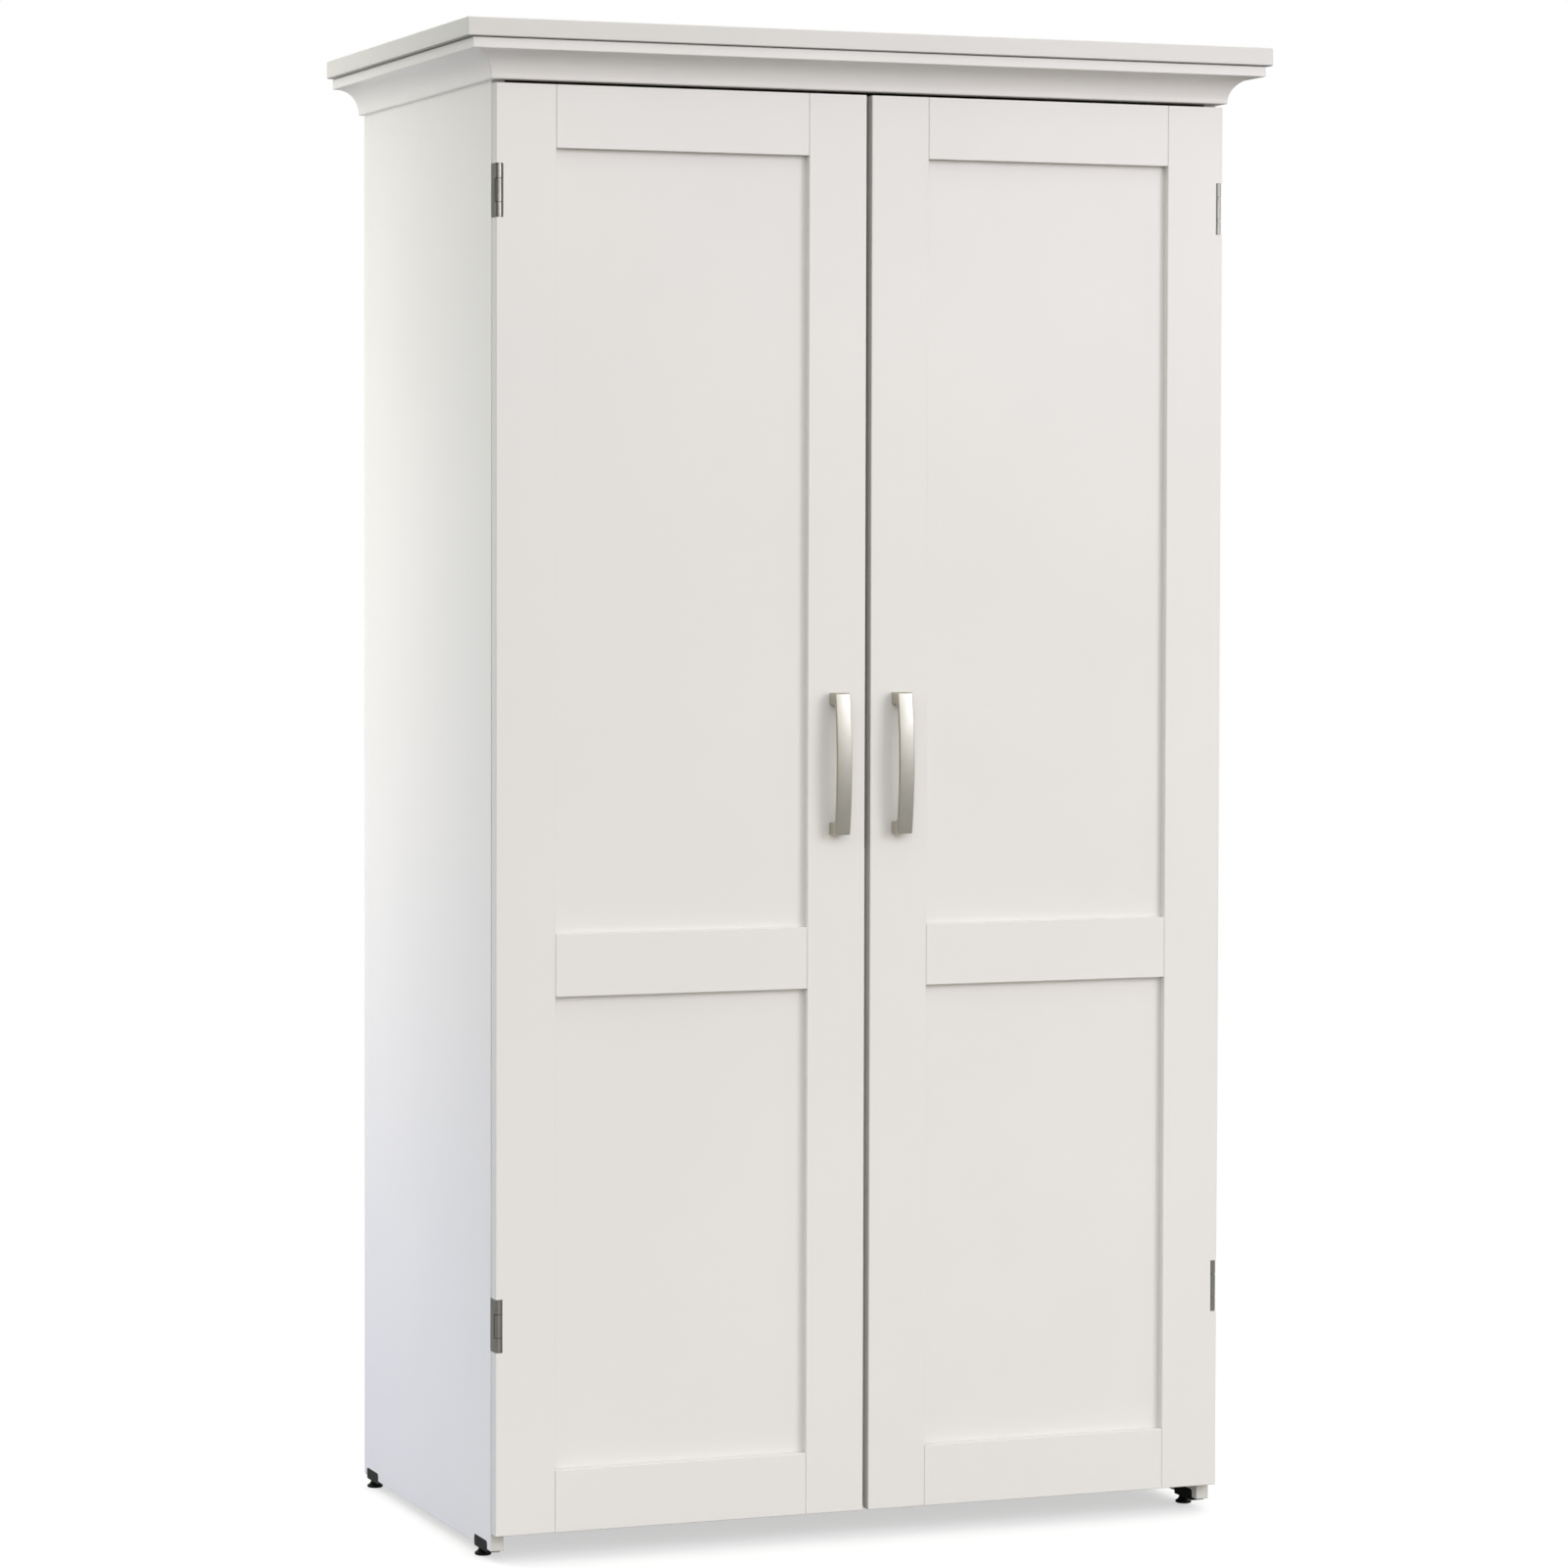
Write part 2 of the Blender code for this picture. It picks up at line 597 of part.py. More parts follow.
# ---------------------------------------------------------------------------
# Levellers
# ---------------------------------------------------------------------------
def housing_outline(start, end, low, high):
    """(y, z) of a block whose two upper corners are round."""
    radius = HOUSING_CORNER
    outline = [(start, low), (end, low)]
    outline += arc((end - radius, high - radius), radius, 0, 90, HOUSING_CORNER_STEPS)
    outline += arc((start + radius, high - radius), radius, 90, 180, HOUSING_CORNER_STEPS)
    return outline


def screw_axis(side, housing_start):
    x = side * (SIDE_INNER + BOARD / 2)
    return x, housing_start + HOUSING_LENGTH - SCREW_FROM_HOUSING_END


def screw_top():
    return HOUSING_BOTTOM - TOUCH + SCREW_LENGTH


def leveller(label, side, housing_start):
    outline = housing_outline(
        housing_start + TOUCH, housing_start + HOUSING_LENGTH - TOUCH, HOUSING_BOTTOM, HOUSING_TOP - TOUCH
    )
    inner, outer = mirrored_span(side, SIDE_INNER + TOUCH, SIDE_OUTER - TOUCH)
    shape = prism(outline, inner, outer, lambda y, z, x: (x, y, z))
    housing = make_piece(f"leveller_housing_{label}", shape, (0, 0, 0), BLACK_PLASTIC)
    axis_x, axis_y = screw_axis(side, housing_start)
    bore = rod(SCREW_RADIUS + SCREW_CLEARANCE, 0, HOUSING_TOP + CUT_PAST, FOOT_SIDES)
    apply_guide(housing, "DIFFERENCE", "bore", bore, (axis_x, axis_y, 0))

    collar_top = HOUSING_BOTTOM - TOUCH
    collar = SCREW_RADIUS + FOOT_COLLAR_LEDGE
    profile = [
        (FOOT_RADIUS - FOOT_EDGE, 0),
        (FOOT_RADIUS, FOOT_EDGE),
        (FOOT_RADIUS, FOOT_DISC_HEIGHT),
        (collar, FOOT_DISC_HEIGHT + FOOT_FLARE_HEIGHT),
        (collar, collar_top),
        (SCREW_RADIUS, collar_top),
        (SCREW_RADIUS, screw_top()),
    ]
    foot = make_piece(
        f"leveller_foot_{label}", turned(profile, FOOT_SIDES), (axis_x, axis_y, 0), BLACK_PLASTIC
    )
    round_off(foot)


# ---------------------------------------------------------------------------
# Doors
# ---------------------------------------------------------------------------
def door_member(name, side, inner, outer, low, high, parent):
    """A stile, or the body of a rail, between two distances from the cabinet's middle."""
    near, far = mirrored_span(side, inner, outer)
    return board(name, (near, DOOR_FACE, low), (far, DOOR_BACK, high), LAMINATE, parent)


def groove(piece, label, low, high):
    """The groove for the panel: it spans the panel's thickness and a touch each way."""
    cut_box(
        piece, label,
        (low[0], PANEL_FACE - TOUCH, low[1]),
        (high[0], PANEL_BACK + TOUCH, high[1]),
    )


def stile(name, side, inner, outer, grooved_edge, into_stile, parent):
    piece = door_member(name, side, inner, outer, DOOR_BOTTOM, DOOR_TOP, parent)
    floor = grooved_edge + into_stile * GROOVE_DEPTH
    outside = grooved_edge - into_stile * GROOVE_DEPTH
    near, far = mirrored_span(side, min(floor, outside), max(floor, outside))
    groove(piece, "groove", (near, DOOR_BOTTOM - CUT_PAST), (far, DOOR_TOP + CUT_PAST))
    return piece


def rail(name, side, low, high, groove_edges, parent):
    """A rail with a tongue at each end, and a groove in each edge that holds a panel."""
    inner, outer = INNER_STILE_EDGE + TOUCH, OUTER_STILE_EDGE - TOUCH
    piece = door_member(name, side, inner, outer, low, high, parent)
    near, far = mirrored_span(side, INNER_STILE_EDGE - PANEL_GRIP, OUTER_STILE_EDGE + PANEL_GRIP)
    join_box(
        piece, "tongues",
        (near, PANEL_FACE, low + TONGUE_INSET),
        (far, PANEL_BACK, high - TONGUE_INSET),
    )
    for label, edge in groove_edges.items():
        low_z, high_z = edge - GROOVE_DEPTH, edge + GROOVE_DEPTH
        groove(piece, f"groove_{label}", (near - CUT_PAST, low_z), (far + CUT_PAST, high_z))


def door_panel(name, side, low_edge, high_edge, parent):
    near, far = mirrored_span(side, INNER_STILE_EDGE - PANEL_GRIP, OUTER_STILE_EDGE + PANEL_GRIP)
    board(
        name,
        (near, PANEL_FACE, low_edge - PANEL_GRIP),
        (far, PANEL_BACK, high_edge + PANEL_GRIP),
        LAMINATE, parent, arris=0,
    )


def door(label, side):
    hinge_line = axis_empty(f"door_{label}_hinge_line", (side * HINGE_X, HINGE_Y, DOOR_BOTTOM))
    name = f"door_{label}"
    outer_stile = stile(
        f"{name}_outer_stile", side, OUTER_STILE_EDGE, SIDE_OUTER, OUTER_STILE_EDGE, 1, hinge_line
    )
    stile(f"{name}_inner_stile", side, DOOR_MEETING, INNER_STILE_EDGE, INNER_STILE_EDGE, -1, hinge_line)
    rail(f"{name}_top_rail", side, TOP_RAIL_EDGE, DOOR_TOP, {"low": TOP_RAIL_EDGE}, hinge_line)
    rail(
        f"{name}_middle_rail", side, MIDDLE_RAIL_BOTTOM, MIDDLE_RAIL_TOP,
        {"low": MIDDLE_RAIL_BOTTOM, "high": MIDDLE_RAIL_TOP}, hinge_line,
    )
    rail(f"{name}_bottom_rail", side, DOOR_BOTTOM, BOTTOM_RAIL_EDGE, {"high": BOTTOM_RAIL_EDGE}, hinge_line)
    door_panel(f"{name}_upper_panel", side, MIDDLE_RAIL_TOP, TOP_RAIL_EDGE, hinge_line)
    door_panel(f"{name}_lower_panel", side, BOTTOM_RAIL_EDGE, MIDDLE_RAIL_BOTTOM, hinge_line)
    cut_hinge_notches(outer_stile, side)
    handle(f"{name}_handle", side, hinge_line)
    strike_plate(f"{name}_strike_plate", side, hinge_line)
    for end, height in HINGE_HEIGHTS.items():
        door_leaf(f"{name}_hinge_leaf_{end}", side, height, hinge_line)
        frame_leaf(f"frame_hinge_leaf_{label}_{end}", side, height)


def cut_hinge_notches(outer_stile, side):
    """Openings in the stile's outer edge, through its thickness, for barrel and leaves."""
    inner, outer = mirrored_span(side, HINGE_X - BARREL_RADIUS - NOTCH_CLEARANCE, SIDE_OUTER + CUT_PAST)
    half = HINGE_HEIGHT / 2 + NOTCH_CLEARANCE
    for label, height in HINGE_HEIGHTS.items():
        low = (inner, DOOR_FACE - CUT_PAST, height - half)
        high = (outer, DOOR_BACK + CUT_PAST, height + half)
        cut_box(outer_stile, f"hinge_{label}", low, high)


# ---------------------------------------------------------------------------
# Hinges, drawn about their own axis: u points outward, v points back
# ---------------------------------------------------------------------------
def leaf_shape(outline, side):
    """A bent leaf: its (u, v) outline drawn up to a little less than the hinge's height."""
    half = HINGE_HEIGHT / 2 - LEAF_SET_IN
    return prism(outline, -half, half, lambda u, v, z: (side * u, v, z))


def barrel_room(side, low, high):
    """The space that the other leaf's knuckle needs between two heights."""
    reach = BARREL_RADIUS + NOTCH_CLEARANCE
    corners = [(-reach, -reach), (reach, -reach), (reach, reach), (-reach, reach)]
    return prism(corners, low, high, lambda u, v, z: (side * u, v, z))


def frame_leaf(name, side, height):
    """Round the side panel's front edge; it carries the end knuckles and the pin."""
    front = SIDE_FRONT - HINGE_Y
    back = front + LEAF_THICKNESS
    inner_face = HINGE_INSET - BOARD - TOUCH
    outline = [
        (LEAF_FACE - LEAF_THICKNESS, 0),
        (LEAF_FACE, 0),
        (LEAF_FACE, back),
        (inner_face, back),
        (inner_face, front + LEAF_REACH),
        (inner_face - LEAF_THICKNESS, front + LEAF_REACH),
        (inner_face - LEAF_THICKNESS, front),
        (LEAF_FACE - LEAF_THICKNESS, front),
    ]
    origin = (side * HINGE_X, HINGE_Y, height)
    leaf = make_piece(name, leaf_shape(outline, side), origin, HINGE_NICKEL)
    half = HINGE_HEIGHT / 2
    inner_end = half - END_KNUCKLE
    room_end = inner_end - TOUCH / 2
    apply_guide(leaf, "DIFFERENCE", "middle_room", barrel_room(side, -room_end, room_end), origin)
    knuckles = {"lower": (-half, -inner_end), "upper": (inner_end, half)}
    for label, (low, high) in knuckles.items():
        apply_guide(leaf, "UNION", f"{label}_knuckle", rod(BARREL_RADIUS, low, high, BARREL_SIDES), origin)
    pin_end = half - LEAF_THICKNESS
    apply_guide(leaf, "UNION", "pin", rod(HINGE_PIN_RADIUS, -pin_end, pin_end, BARREL_SIDES), origin)
    round_off(leaf)


def door_leaf(name, side, height, parent):
    """Down the notch's wall and across the door's back; it carries the middle knuckle."""
    back = DOOR_BACK + TOUCH + LEAF_THICKNESS - HINGE_Y
    front = back - LEAF_THICKNESS
    outline = [
        (-LEAF_FACE, 0),
        (-LEAF_FACE + LEAF_THICKNESS, 0),
        (-LEAF_FACE + LEAF_THICKNESS, back),
        (-LEAF_FACE - LEAF_REACH, back),
        (-LEAF_FACE - LEAF_REACH, front),
        (-LEAF_FACE, front),
    ]
    origin = (side * HINGE_X, HINGE_Y, height)
    leaf = make_piece(name, leaf_shape(outline, side), origin, HINGE_NICKEL, parent)
    half = HINGE_HEIGHT / 2
    inner_end = half - END_KNUCKLE - KNUCKLE_GAP
    room_end = inner_end + TOUCH / 2
    rooms = {"lower": (-half - CUT_PAST, -room_end), "upper": (room_end, half + CUT_PAST)}
    for label, (low, high) in rooms.items():
        apply_guide(leaf, "DIFFERENCE", f"{label}_room", barrel_room(side, low, high), origin)
    apply_guide(leaf, "UNION", "knuckle", rod(BARREL_RADIUS, -inner_end, inner_end, BARREL_SIDES), origin)
    bore = rod(HINGE_PIN_RADIUS + HINGE_PIN_CLEARANCE, -half, half, BARREL_SIDES)
    apply_guide(leaf, "DIFFERENCE", "bore", bore, origin)
    round_off(leaf)


# ---------------------------------------------------------------------------
# Handle and catch
# ---------------------------------------------------------------------------
def handle_outline():
    """(rise, height) of the handle seen from the side, about its middle."""
    half = HANDLE_LENGTH / 2
    crown = HANDLE_RISE - HANDLE_END_RISE
    radius = (half * half + crown * crown) / (2 * crown)
    centre = (HANDLE_RISE - radius, 0)
    inner_radius = radius - HANDLE_STRAP
    post_edge = half - HANDLE_POST

    def swept(reach, at_radius):
        return math.degrees(math.asin(reach / at_radius))

    outer = swept(half - HANDLE_SHOULDER, radius)
    inner = swept(post_edge - HANDLE_FILLET, inner_radius)
    inner_end = centre[0] + inner_radius * math.cos(math.radians(inner))
    fillet_rise = inner_end - HANDLE_FILLET
    steps = HANDLE_CORNER_STEPS
    shoulder_rise = centre[0] + radius * math.cos(math.radians(outer)) - HANDLE_SHOULDER

    outline = [(0, -half)]
    outline += arc((shoulder_rise, -half + HANDLE_SHOULDER), HANDLE_SHOULDER, -90, -outer, steps)
    outline += arc(centre, radius, -outer, outer, HANDLE_ARC_STEPS)
    outline += arc((shoulder_rise, half - HANDLE_SHOULDER), HANDLE_SHOULDER, outer, 90, steps)
    outline += [(0, half), (0, post_edge)]
    outline += arc((fillet_rise, post_edge - HANDLE_FILLET), HANDLE_FILLET, 90, inner, steps)
    outline += arc(centre, inner_radius, inner, -inner, HANDLE_ARC_STEPS)
    outline += arc((fillet_rise, HANDLE_FILLET - post_edge), HANDLE_FILLET, -inner, -90, steps)
    outline += [(0, -post_edge)]
    return outline


def handle(name, side, parent):
    x = side * (DOOR_MEETING + FRAME_WIDTH / 2)
    half = HANDLE_WIDTH / 2
    shape = prism(handle_outline(), -half, half, lambda rise, z, across: (across, -rise, z))
    origin = (x, DOOR_FACE - TOUCH, HANDLE_CENTRE_HEIGHT)
    piece = make_piece(name, shape, origin, SATIN_NICKEL, parent)
    edges = piece.modifiers.new("rounded_edges", "BEVEL")
    edges.width = HANDLE_EDGE_ROUND
    edges.segments = HANDLE_BEVEL_SEGMENTS
    edges.limit_method = "ANGLE"
    edges.angle_limit = math.radians(HANDLE_BEVEL_FROM)
    round_off(piece)


def strike_plate(name, side, parent):
    near = DOOR_MEETING + STRIKE_INSET
    inner, outer = mirrored_span(side, near, near + STRIKE_WIDTH)
    front = DOOR_BACK + TOUCH
    centre = CATCH_BASE + CATCH_HEIGHT / 2
    board(
        name,
        (inner, front, centre - STRIKE_HEIGHT / 2),
        (outer, front + STRIKE_THICKNESS, centre + STRIKE_HEIGHT / 2),
        ZINC, parent, arris=0,
    )


def magnetic_catch():
    board(
        "magnetic_catch",
        (-CATCH_WIDTH / 2, CATCH_FRONT, CATCH_BASE),
        (CATCH_WIDTH / 2, CATCH_FRONT + CATCH_DEPTH, CATCH_BASE + CATCH_HEIGHT),
        BROWN_PLASTIC,
    )


# ---------------------------------------------------------------------------
# The whole cabinet
# ---------------------------------------------------------------------------
def build_cabinet():
    clear_scene()
    carcass_boards()
    back_sheets()
    crown_moulding()
    upper_shelves()
    lower_shelves()
    magnetic_catch()
    for label, side in SIDES.items():
        side_panel(label, side)
        for end, start in HOUSING_STARTS.items():
            leveller(f"{label}_{end}", side, start)
        door(label, side)


build_cabinet()
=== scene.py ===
# %% [markdown]
# # A pantry cabinet in white laminate
#
# The cabinet's boards, doors, hinges and feet come ready-made from the imported model, each as its
# own object. This lesson gives them their finishes, adds the small hardware that makes such a
# cabinet look real when its doors stand open, and sets up a small studio around it. All lengths
# are in metres, +Z is up, and the doors face -Y.
#
# The first cell loads the model, and a helper measures the box of any one part. Everything added
# later has to stay inside it.

import math

import bmesh
import bpy
from mathutils import Matrix, Vector


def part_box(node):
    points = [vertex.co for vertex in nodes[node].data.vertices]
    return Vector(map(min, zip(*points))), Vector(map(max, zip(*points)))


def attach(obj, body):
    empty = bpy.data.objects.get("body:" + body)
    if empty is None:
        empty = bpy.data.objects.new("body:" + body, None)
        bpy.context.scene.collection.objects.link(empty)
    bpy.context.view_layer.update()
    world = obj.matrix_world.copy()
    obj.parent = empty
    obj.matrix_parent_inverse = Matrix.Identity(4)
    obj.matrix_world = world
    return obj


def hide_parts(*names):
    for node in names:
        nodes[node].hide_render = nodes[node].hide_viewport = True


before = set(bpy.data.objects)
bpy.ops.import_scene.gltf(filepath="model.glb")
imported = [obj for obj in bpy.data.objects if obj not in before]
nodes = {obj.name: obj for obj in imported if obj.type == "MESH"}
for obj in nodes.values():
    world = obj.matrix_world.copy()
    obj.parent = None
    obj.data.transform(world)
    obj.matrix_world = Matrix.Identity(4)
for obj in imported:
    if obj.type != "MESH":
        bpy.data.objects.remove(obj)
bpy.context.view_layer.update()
print("boards and fittings:", len(nodes))

# %% [markdown]
# ## The camera
#
# A tall cabinet is best shown through a long lens from several metres away, because its
# uprights then stay nearly parallel. This camera stands to the left and looks a little to the
# right, which shows the left side as a narrow strip. The cabinet then sits off the middle of
# the lens, and a small shift of the lens brings it back without turning the camera.

# %% Camera
LENS, FILM_WIDTH = 109.15, 36.0
SHIFT_RIGHT, SHIFT_UP = 0.15, -0.0625
LEFT_OF_MIDDLE, EYE_HEIGHT, IN_FRONT_OF_SIDE = 2.2155, 1.1768, 5.1375
LOOK_RIGHT, LOOK_DOWN, ROLL = 19.558, 1.772, -0.06
NEAREST, FARTHEST = 0.05, 100.0

camera_data = bpy.data.cameras.new("catalogue_camera")
camera_data.sensor_width = FILM_WIDTH
camera_data.lens = LENS
camera_data.shift_x = SHIFT_RIGHT
camera_data.shift_y = SHIFT_UP
camera_data.clip_start = NEAREST
camera_data.clip_end = FARTHEST
camera = bpy.data.objects.new("catalogue_camera", camera_data)
bpy.context.scene.collection.objects.link(camera)

side_low, side_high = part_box("side_panel_left")
camera.location = (-LEFT_OF_MIDDLE, side_low.y - IN_FRONT_OF_SIDE, EYE_HEIGHT)
camera.rotation_euler = (
    math.radians(90 - LOOK_DOWN), math.radians(ROLL), math.radians(-LOOK_RIGHT)
)
bpy.context.scene.camera = camera
print("camera at", [round(value, 3) for value in camera.location])

# %% [markdown]
# Blender normally shows a scene through a film-like curve, which turns pure white into light
# grey. This cabinet is white on white, so the plain display is used instead.

# %% Plain display of colours
bpy.context.scene.view_settings.view_transform = "Standard"
bpy.context.scene.view_settings.look = "None"
print("display:", bpy.context.scene.view_settings.view_transform)

# %% [markdown]
# ## Helpers for finishes
#
# A finish is built from shader nodes: take a place on the board, make a pattern there, and turn
# the pattern into a tone, a roughness or a height. Wiring nodes by hand takes many lines, so
# each step gets a short helper, and a finish below reads like a recipe.

# %% Adding one shader node
def add_node(tree, kind, inputs=None, **settings):
    """Add a node; each input is a plain value, or the output of another node."""
    node = tree.nodes.new(kind)
    for name, value in settings.items():
        setattr(node, name, value)
    for name, value in (inputs or {}).items():
        if isinstance(value, bpy.types.NodeSocket):
            tree.links.new(value, node.inputs[name])
        else:
            node.inputs[name].default_value = value
    return node


def new_finish(name, metallic=0.0, **sockets):
    """A material with a Principled shader, whose fixed numbers are set straight on it."""
    finish = bpy.data.materials.new(name)
    finish.use_nodes = True
    shader = finish.node_tree.nodes["Principled BSDF"]
    shader.inputs["Metallic"].default_value = metallic
    for socket, value in sockets.items():
        shader.inputs[socket.replace("_", " ")].default_value = value
    return finish, finish.node_tree, shader


def connect(tree, shader, colour, roughness, normal):
    """Plug a colour, a roughness and small hills into a shader."""
    tree.links.new(colour, shader.inputs["Base Color"])
    tree.links.new(roughness, shader.inputs["Roughness"])
    tree.links.new(normal, shader.inputs["Normal"])


print("node helpers ready")

# %% [markdown]
# Every object of the cabinet has its place in its mesh, so Object coordinates are metres on the
# cabinet itself. A pattern in them has its true size, and it swings along with a door.

# %% Places and clouds
def position(tree, stretch=(1.0, 1.0, 1.0)):
    """Where a point lies in the cabinet, in metres, stretched along X, Y and Z."""
    place = add_node(tree, "ShaderNodeTexCoord")
    mapped = add_node(
        tree, "ShaderNodeMapping", {"Vector": place.outputs["Object"], "Scale": stretch}
    )
    return mapped.outputs["Vector"]


def cloudy(tree, where, per_metre, detail=2.0, roughness=0.5):
    """A soft random pattern from 0 to 1, with that many clouds to the metre."""
    pattern = add_node(
        tree, "ShaderNodeTexNoise",
        {"Vector": where, "Scale": per_metre, "Detail": detail, "Roughness": roughness},
    )
    return pattern.outputs[0]


print("clouds are counted to the metre")

# %% [markdown]
# A pattern is only a number from 0 to 1 at each point. These helpers give it another range,
# work out one number from two, mix two colours by it, or raise it into small hills.

# %% Working with a pattern
def between(tree, pattern, low, high, start=0.0, end=1.0):
    """Turn a pattern that runs from start to end into one that runs from low to high."""
    limits = {"Value": pattern, "From Min": start, "From Max": end, "To Min": low, "To Max": high}
    return add_node(tree, "ShaderNodeMapRange", limits).outputs[0]


def sums(tree, operation, first, second=0.0):
    """Work out one number from two."""
    return add_node(tree, "ShaderNodeMath", {0: first, 1: second}, operation=operation).outputs[0]


def blended(tree, share, colour_a, colour_b):
    """Mix two colours; a share of 0 gives the first and 1 the second."""
    mix = add_node(tree, "ShaderNodeMix", data_type="RGBA")
    for index, value in ((0, share), (6, colour_a), (7, colour_b)):
        if isinstance(value, bpy.types.NodeSocket):
            tree.links.new(value, mix.inputs[index])
        else:
            mix.inputs[index].default_value = value if index == 0 else (*value, 1.0)
    return mix.outputs[2]


def raised(tree, height, depth, strength):
    """Turn a height pattern from 0 to 1 into small hills that are depth metres high."""
    hills = add_node(
        tree, "ShaderNodeBump", {"Height": height, "Distance": depth, "Strength": strength}
    )
    return hills.outputs["Normal"]


print("pattern helpers ready")

# %% [markdown]
# A board in such a cabinet is covered with laminate on its faces, and a strip of thin edge band
# is glued round its edges. Where the two meet there is a hairline of glue, and that corner is
# also where years of hands and cloths wear the shine. A hairline could be cut into the mesh,
# but it is less than a millimetre wide. So it is drawn at its true place instead: a helper
# finds how near a point lies to a plane of the cabinet, such as the front of the side panels.

# %% Hairlines along the edges of boards
AXES = {"x": 0, "y": 1, "z": 2}


def near_edges(tree, edges, reach):
    """1 on any of the given planes, falling to 0 at reach metres away.

    An edge is an axis and a place along it. On the X axis the place counts on both halves,
    because the cabinet's two halves mirror each other.
    """
    place = add_node(tree, "ShaderNodeTexCoord").outputs["Object"]
    parts = add_node(tree, "ShaderNodeSeparateXYZ", {"Vector": place})
    nearness = None
    for axis, where in edges:
        along = parts.outputs[AXES[axis]]
        if axis == "x":
            along = sums(tree, "ABSOLUTE", along)
        gap = sums(tree, "ABSOLUTE", sums(tree, "SUBTRACT", along, where))
        one = between(tree, gap, 1.0, 0.0, 0.0, reach)
        nearness = one if nearness is None else sums(tree, "MAXIMUM", nearness, one)
    return nearness


print("axes:", sorted(AXES))

# %% [markdown]
# ## White laminate
#
# White melamine laminate is printed paper under a clear resin, pressed onto board by a steel
# plate with a fine satin stipple. Three things keep it from looking like paint: broad, very
# faint changes of tone, a roughness that follows them, and the stipple, which breaks up
# highlights. All three are noise, at 3, 40 and 900 clouds to the metre.

# %% Laminate recipe
TONES_PER_METRE, WEAR_PER_METRE, STIPPLE_PER_METRE = 3.0, 40.0, 900.0
STIPPLE_HEIGHT = 0.00004
GLUE_REACH, GLUE_SHARE, GLUE_TONE = 0.0007, 0.55, (0.60, 0.585, 0.555)
# The dark line along the underside of the crown's top slab is partly dust in the joint and partly
# a painted shadow of the slab's overhang.
SHADOW_JOINT_REACH, SHADOW_JOINT_SHARE, SHADOW_JOINT_TONE = 0.0012, 0.9, (0.24, 0.235, 0.22)
WEAR_REACH, WEAR_SHINE = 0.0035, 0.12


def white_laminate(name, white, cooler, edges, joints=()):
    """Laminate whose hairlines and worn corners follow the given edges of the boards; along the
    shadowed joints it gets a painted dark line, partly dust and partly painted shadow.
    """
    finish, tree, shader = new_finish(name, Specular_IOR_Level=0.45)
    where = position(tree)
    broad = cloudy(tree, where, TONES_PER_METRE, detail=3.0)
    hand = cloudy(tree, where, WEAR_PER_METRE, detail=3.0)
    stipple = cloudy(tree, where, STIPPLE_PER_METRE, detail=1.0)
    tone = blended(tree, between(tree, broad, 0.0, 1.0, 0.3, 0.7), white, cooler)

    hairline = sums(tree, "MULTIPLY", near_edges(tree, edges, GLUE_REACH), GLUE_SHARE)
    worn = sums(tree, "MULTIPLY", near_edges(tree, edges, WEAR_REACH), hand)
    colour = blended(tree, hairline, tone, GLUE_TONE)
    # Painted shadow: the joint line is darkened, partly for dust and partly for the shade under
    # the slab.
    if joints:
        dust_and_painted_shadow = sums(tree, "MULTIPLY", near_edges(tree, joints, SHADOW_JOINT_REACH), SHADOW_JOINT_SHARE)
        colour = blended(tree, dust_and_painted_shadow, colour, SHADOW_JOINT_TONE)

    satin = between(tree, broad, 0.36, 0.43, 0.3, 0.7)
    satin = sums(tree, "ADD", satin, between(tree, hand, -0.02, 0.03, 0.3, 0.7))
    satin = sums(tree, "ADD", satin, between(tree, stipple, 0.0, 0.04))
    satin = sums(tree, "SUBTRACT", satin, sums(tree, "MULTIPLY", worn, WEAR_SHINE))
    connect(tree, shader, colour, satin, raised(tree, stipple, STIPPLE_HEIGHT, 0.35))
    return finish


print("hairline reach:", GLUE_REACH)

# %% [markdown]
# The carcass, the doors and the crown each have their edges elsewhere, so each gets its own mix
# of the same recipe. The places come from the boxes of the boards, not from typed numbers, so
# they stay right if the cabinet changes.

# %% Laminate for the sides, the doors and the crown
OUTER_WHITE, OUTER_COOLER = (0.80, 0.785, 0.765), (0.775, 0.765, 0.75)
INNER_WHITE, INNER_COOLER = (0.76, 0.75, 0.73), (0.74, 0.73, 0.715)

side_laminate = white_laminate(
    "laminate_sides", OUTER_WHITE, OUTER_COOLER,
    [("y", side_low.y), ("y", side_high.y), ("z", side_low.z), ("z", side_high.z)],
)
stile_low, stile_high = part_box("door_right_outer_stile")
door_middle_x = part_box("door_right_inner_stile")[0].x
door_laminate = white_laminate(
    "laminate_doors", OUTER_WHITE, OUTER_COOLER,
    [("x", stile_high.x), ("x", door_middle_x), ("z", stile_low.z), ("z", stile_high.z)],
)
cornice_low, cornice_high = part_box("cornice_top")
crown_laminate = white_laminate(
    "laminate_crown", OUTER_WHITE, OUTER_COOLER,
    [("x", cornice_high.x), ("y", cornice_low.y), ("y", cornice_high.y)],
    # The slab's underside gets the painted dark line of dust and painted shadow.
    joints=[("z", cornice_low.z)],
)
shelf_front_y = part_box("upper_shelf_1")[0].y
inner_laminate = white_laminate(
    "laminate_inside", INNER_WHITE, INNER_COOLER, [("y", side_low.y), ("y", shelf_front_y)],
)
print("door edges at x", round(door_middle_x, 4), "and", round(stile_high.x, 4))

# %% [markdown]
# ## Metal
#
# The handles are satin nickel: nickel plate over metal that was brushed along its length. The
# hinges have a duller, darker nickel, and pins and screws are bright zinc. A brushed metal
# could be done with anisotropic shading, but that needs a direction on every mesh. Fine
# streaks in the roughness and height, stretched along the brushing, do the same in any mesh.

# %% Brushed and plated metal
STREAK_HEIGHT = 0.00003
UPRIGHT, EVEN = (1.0, 1.0, 0.02), (1.0, 1.0, 1.0)


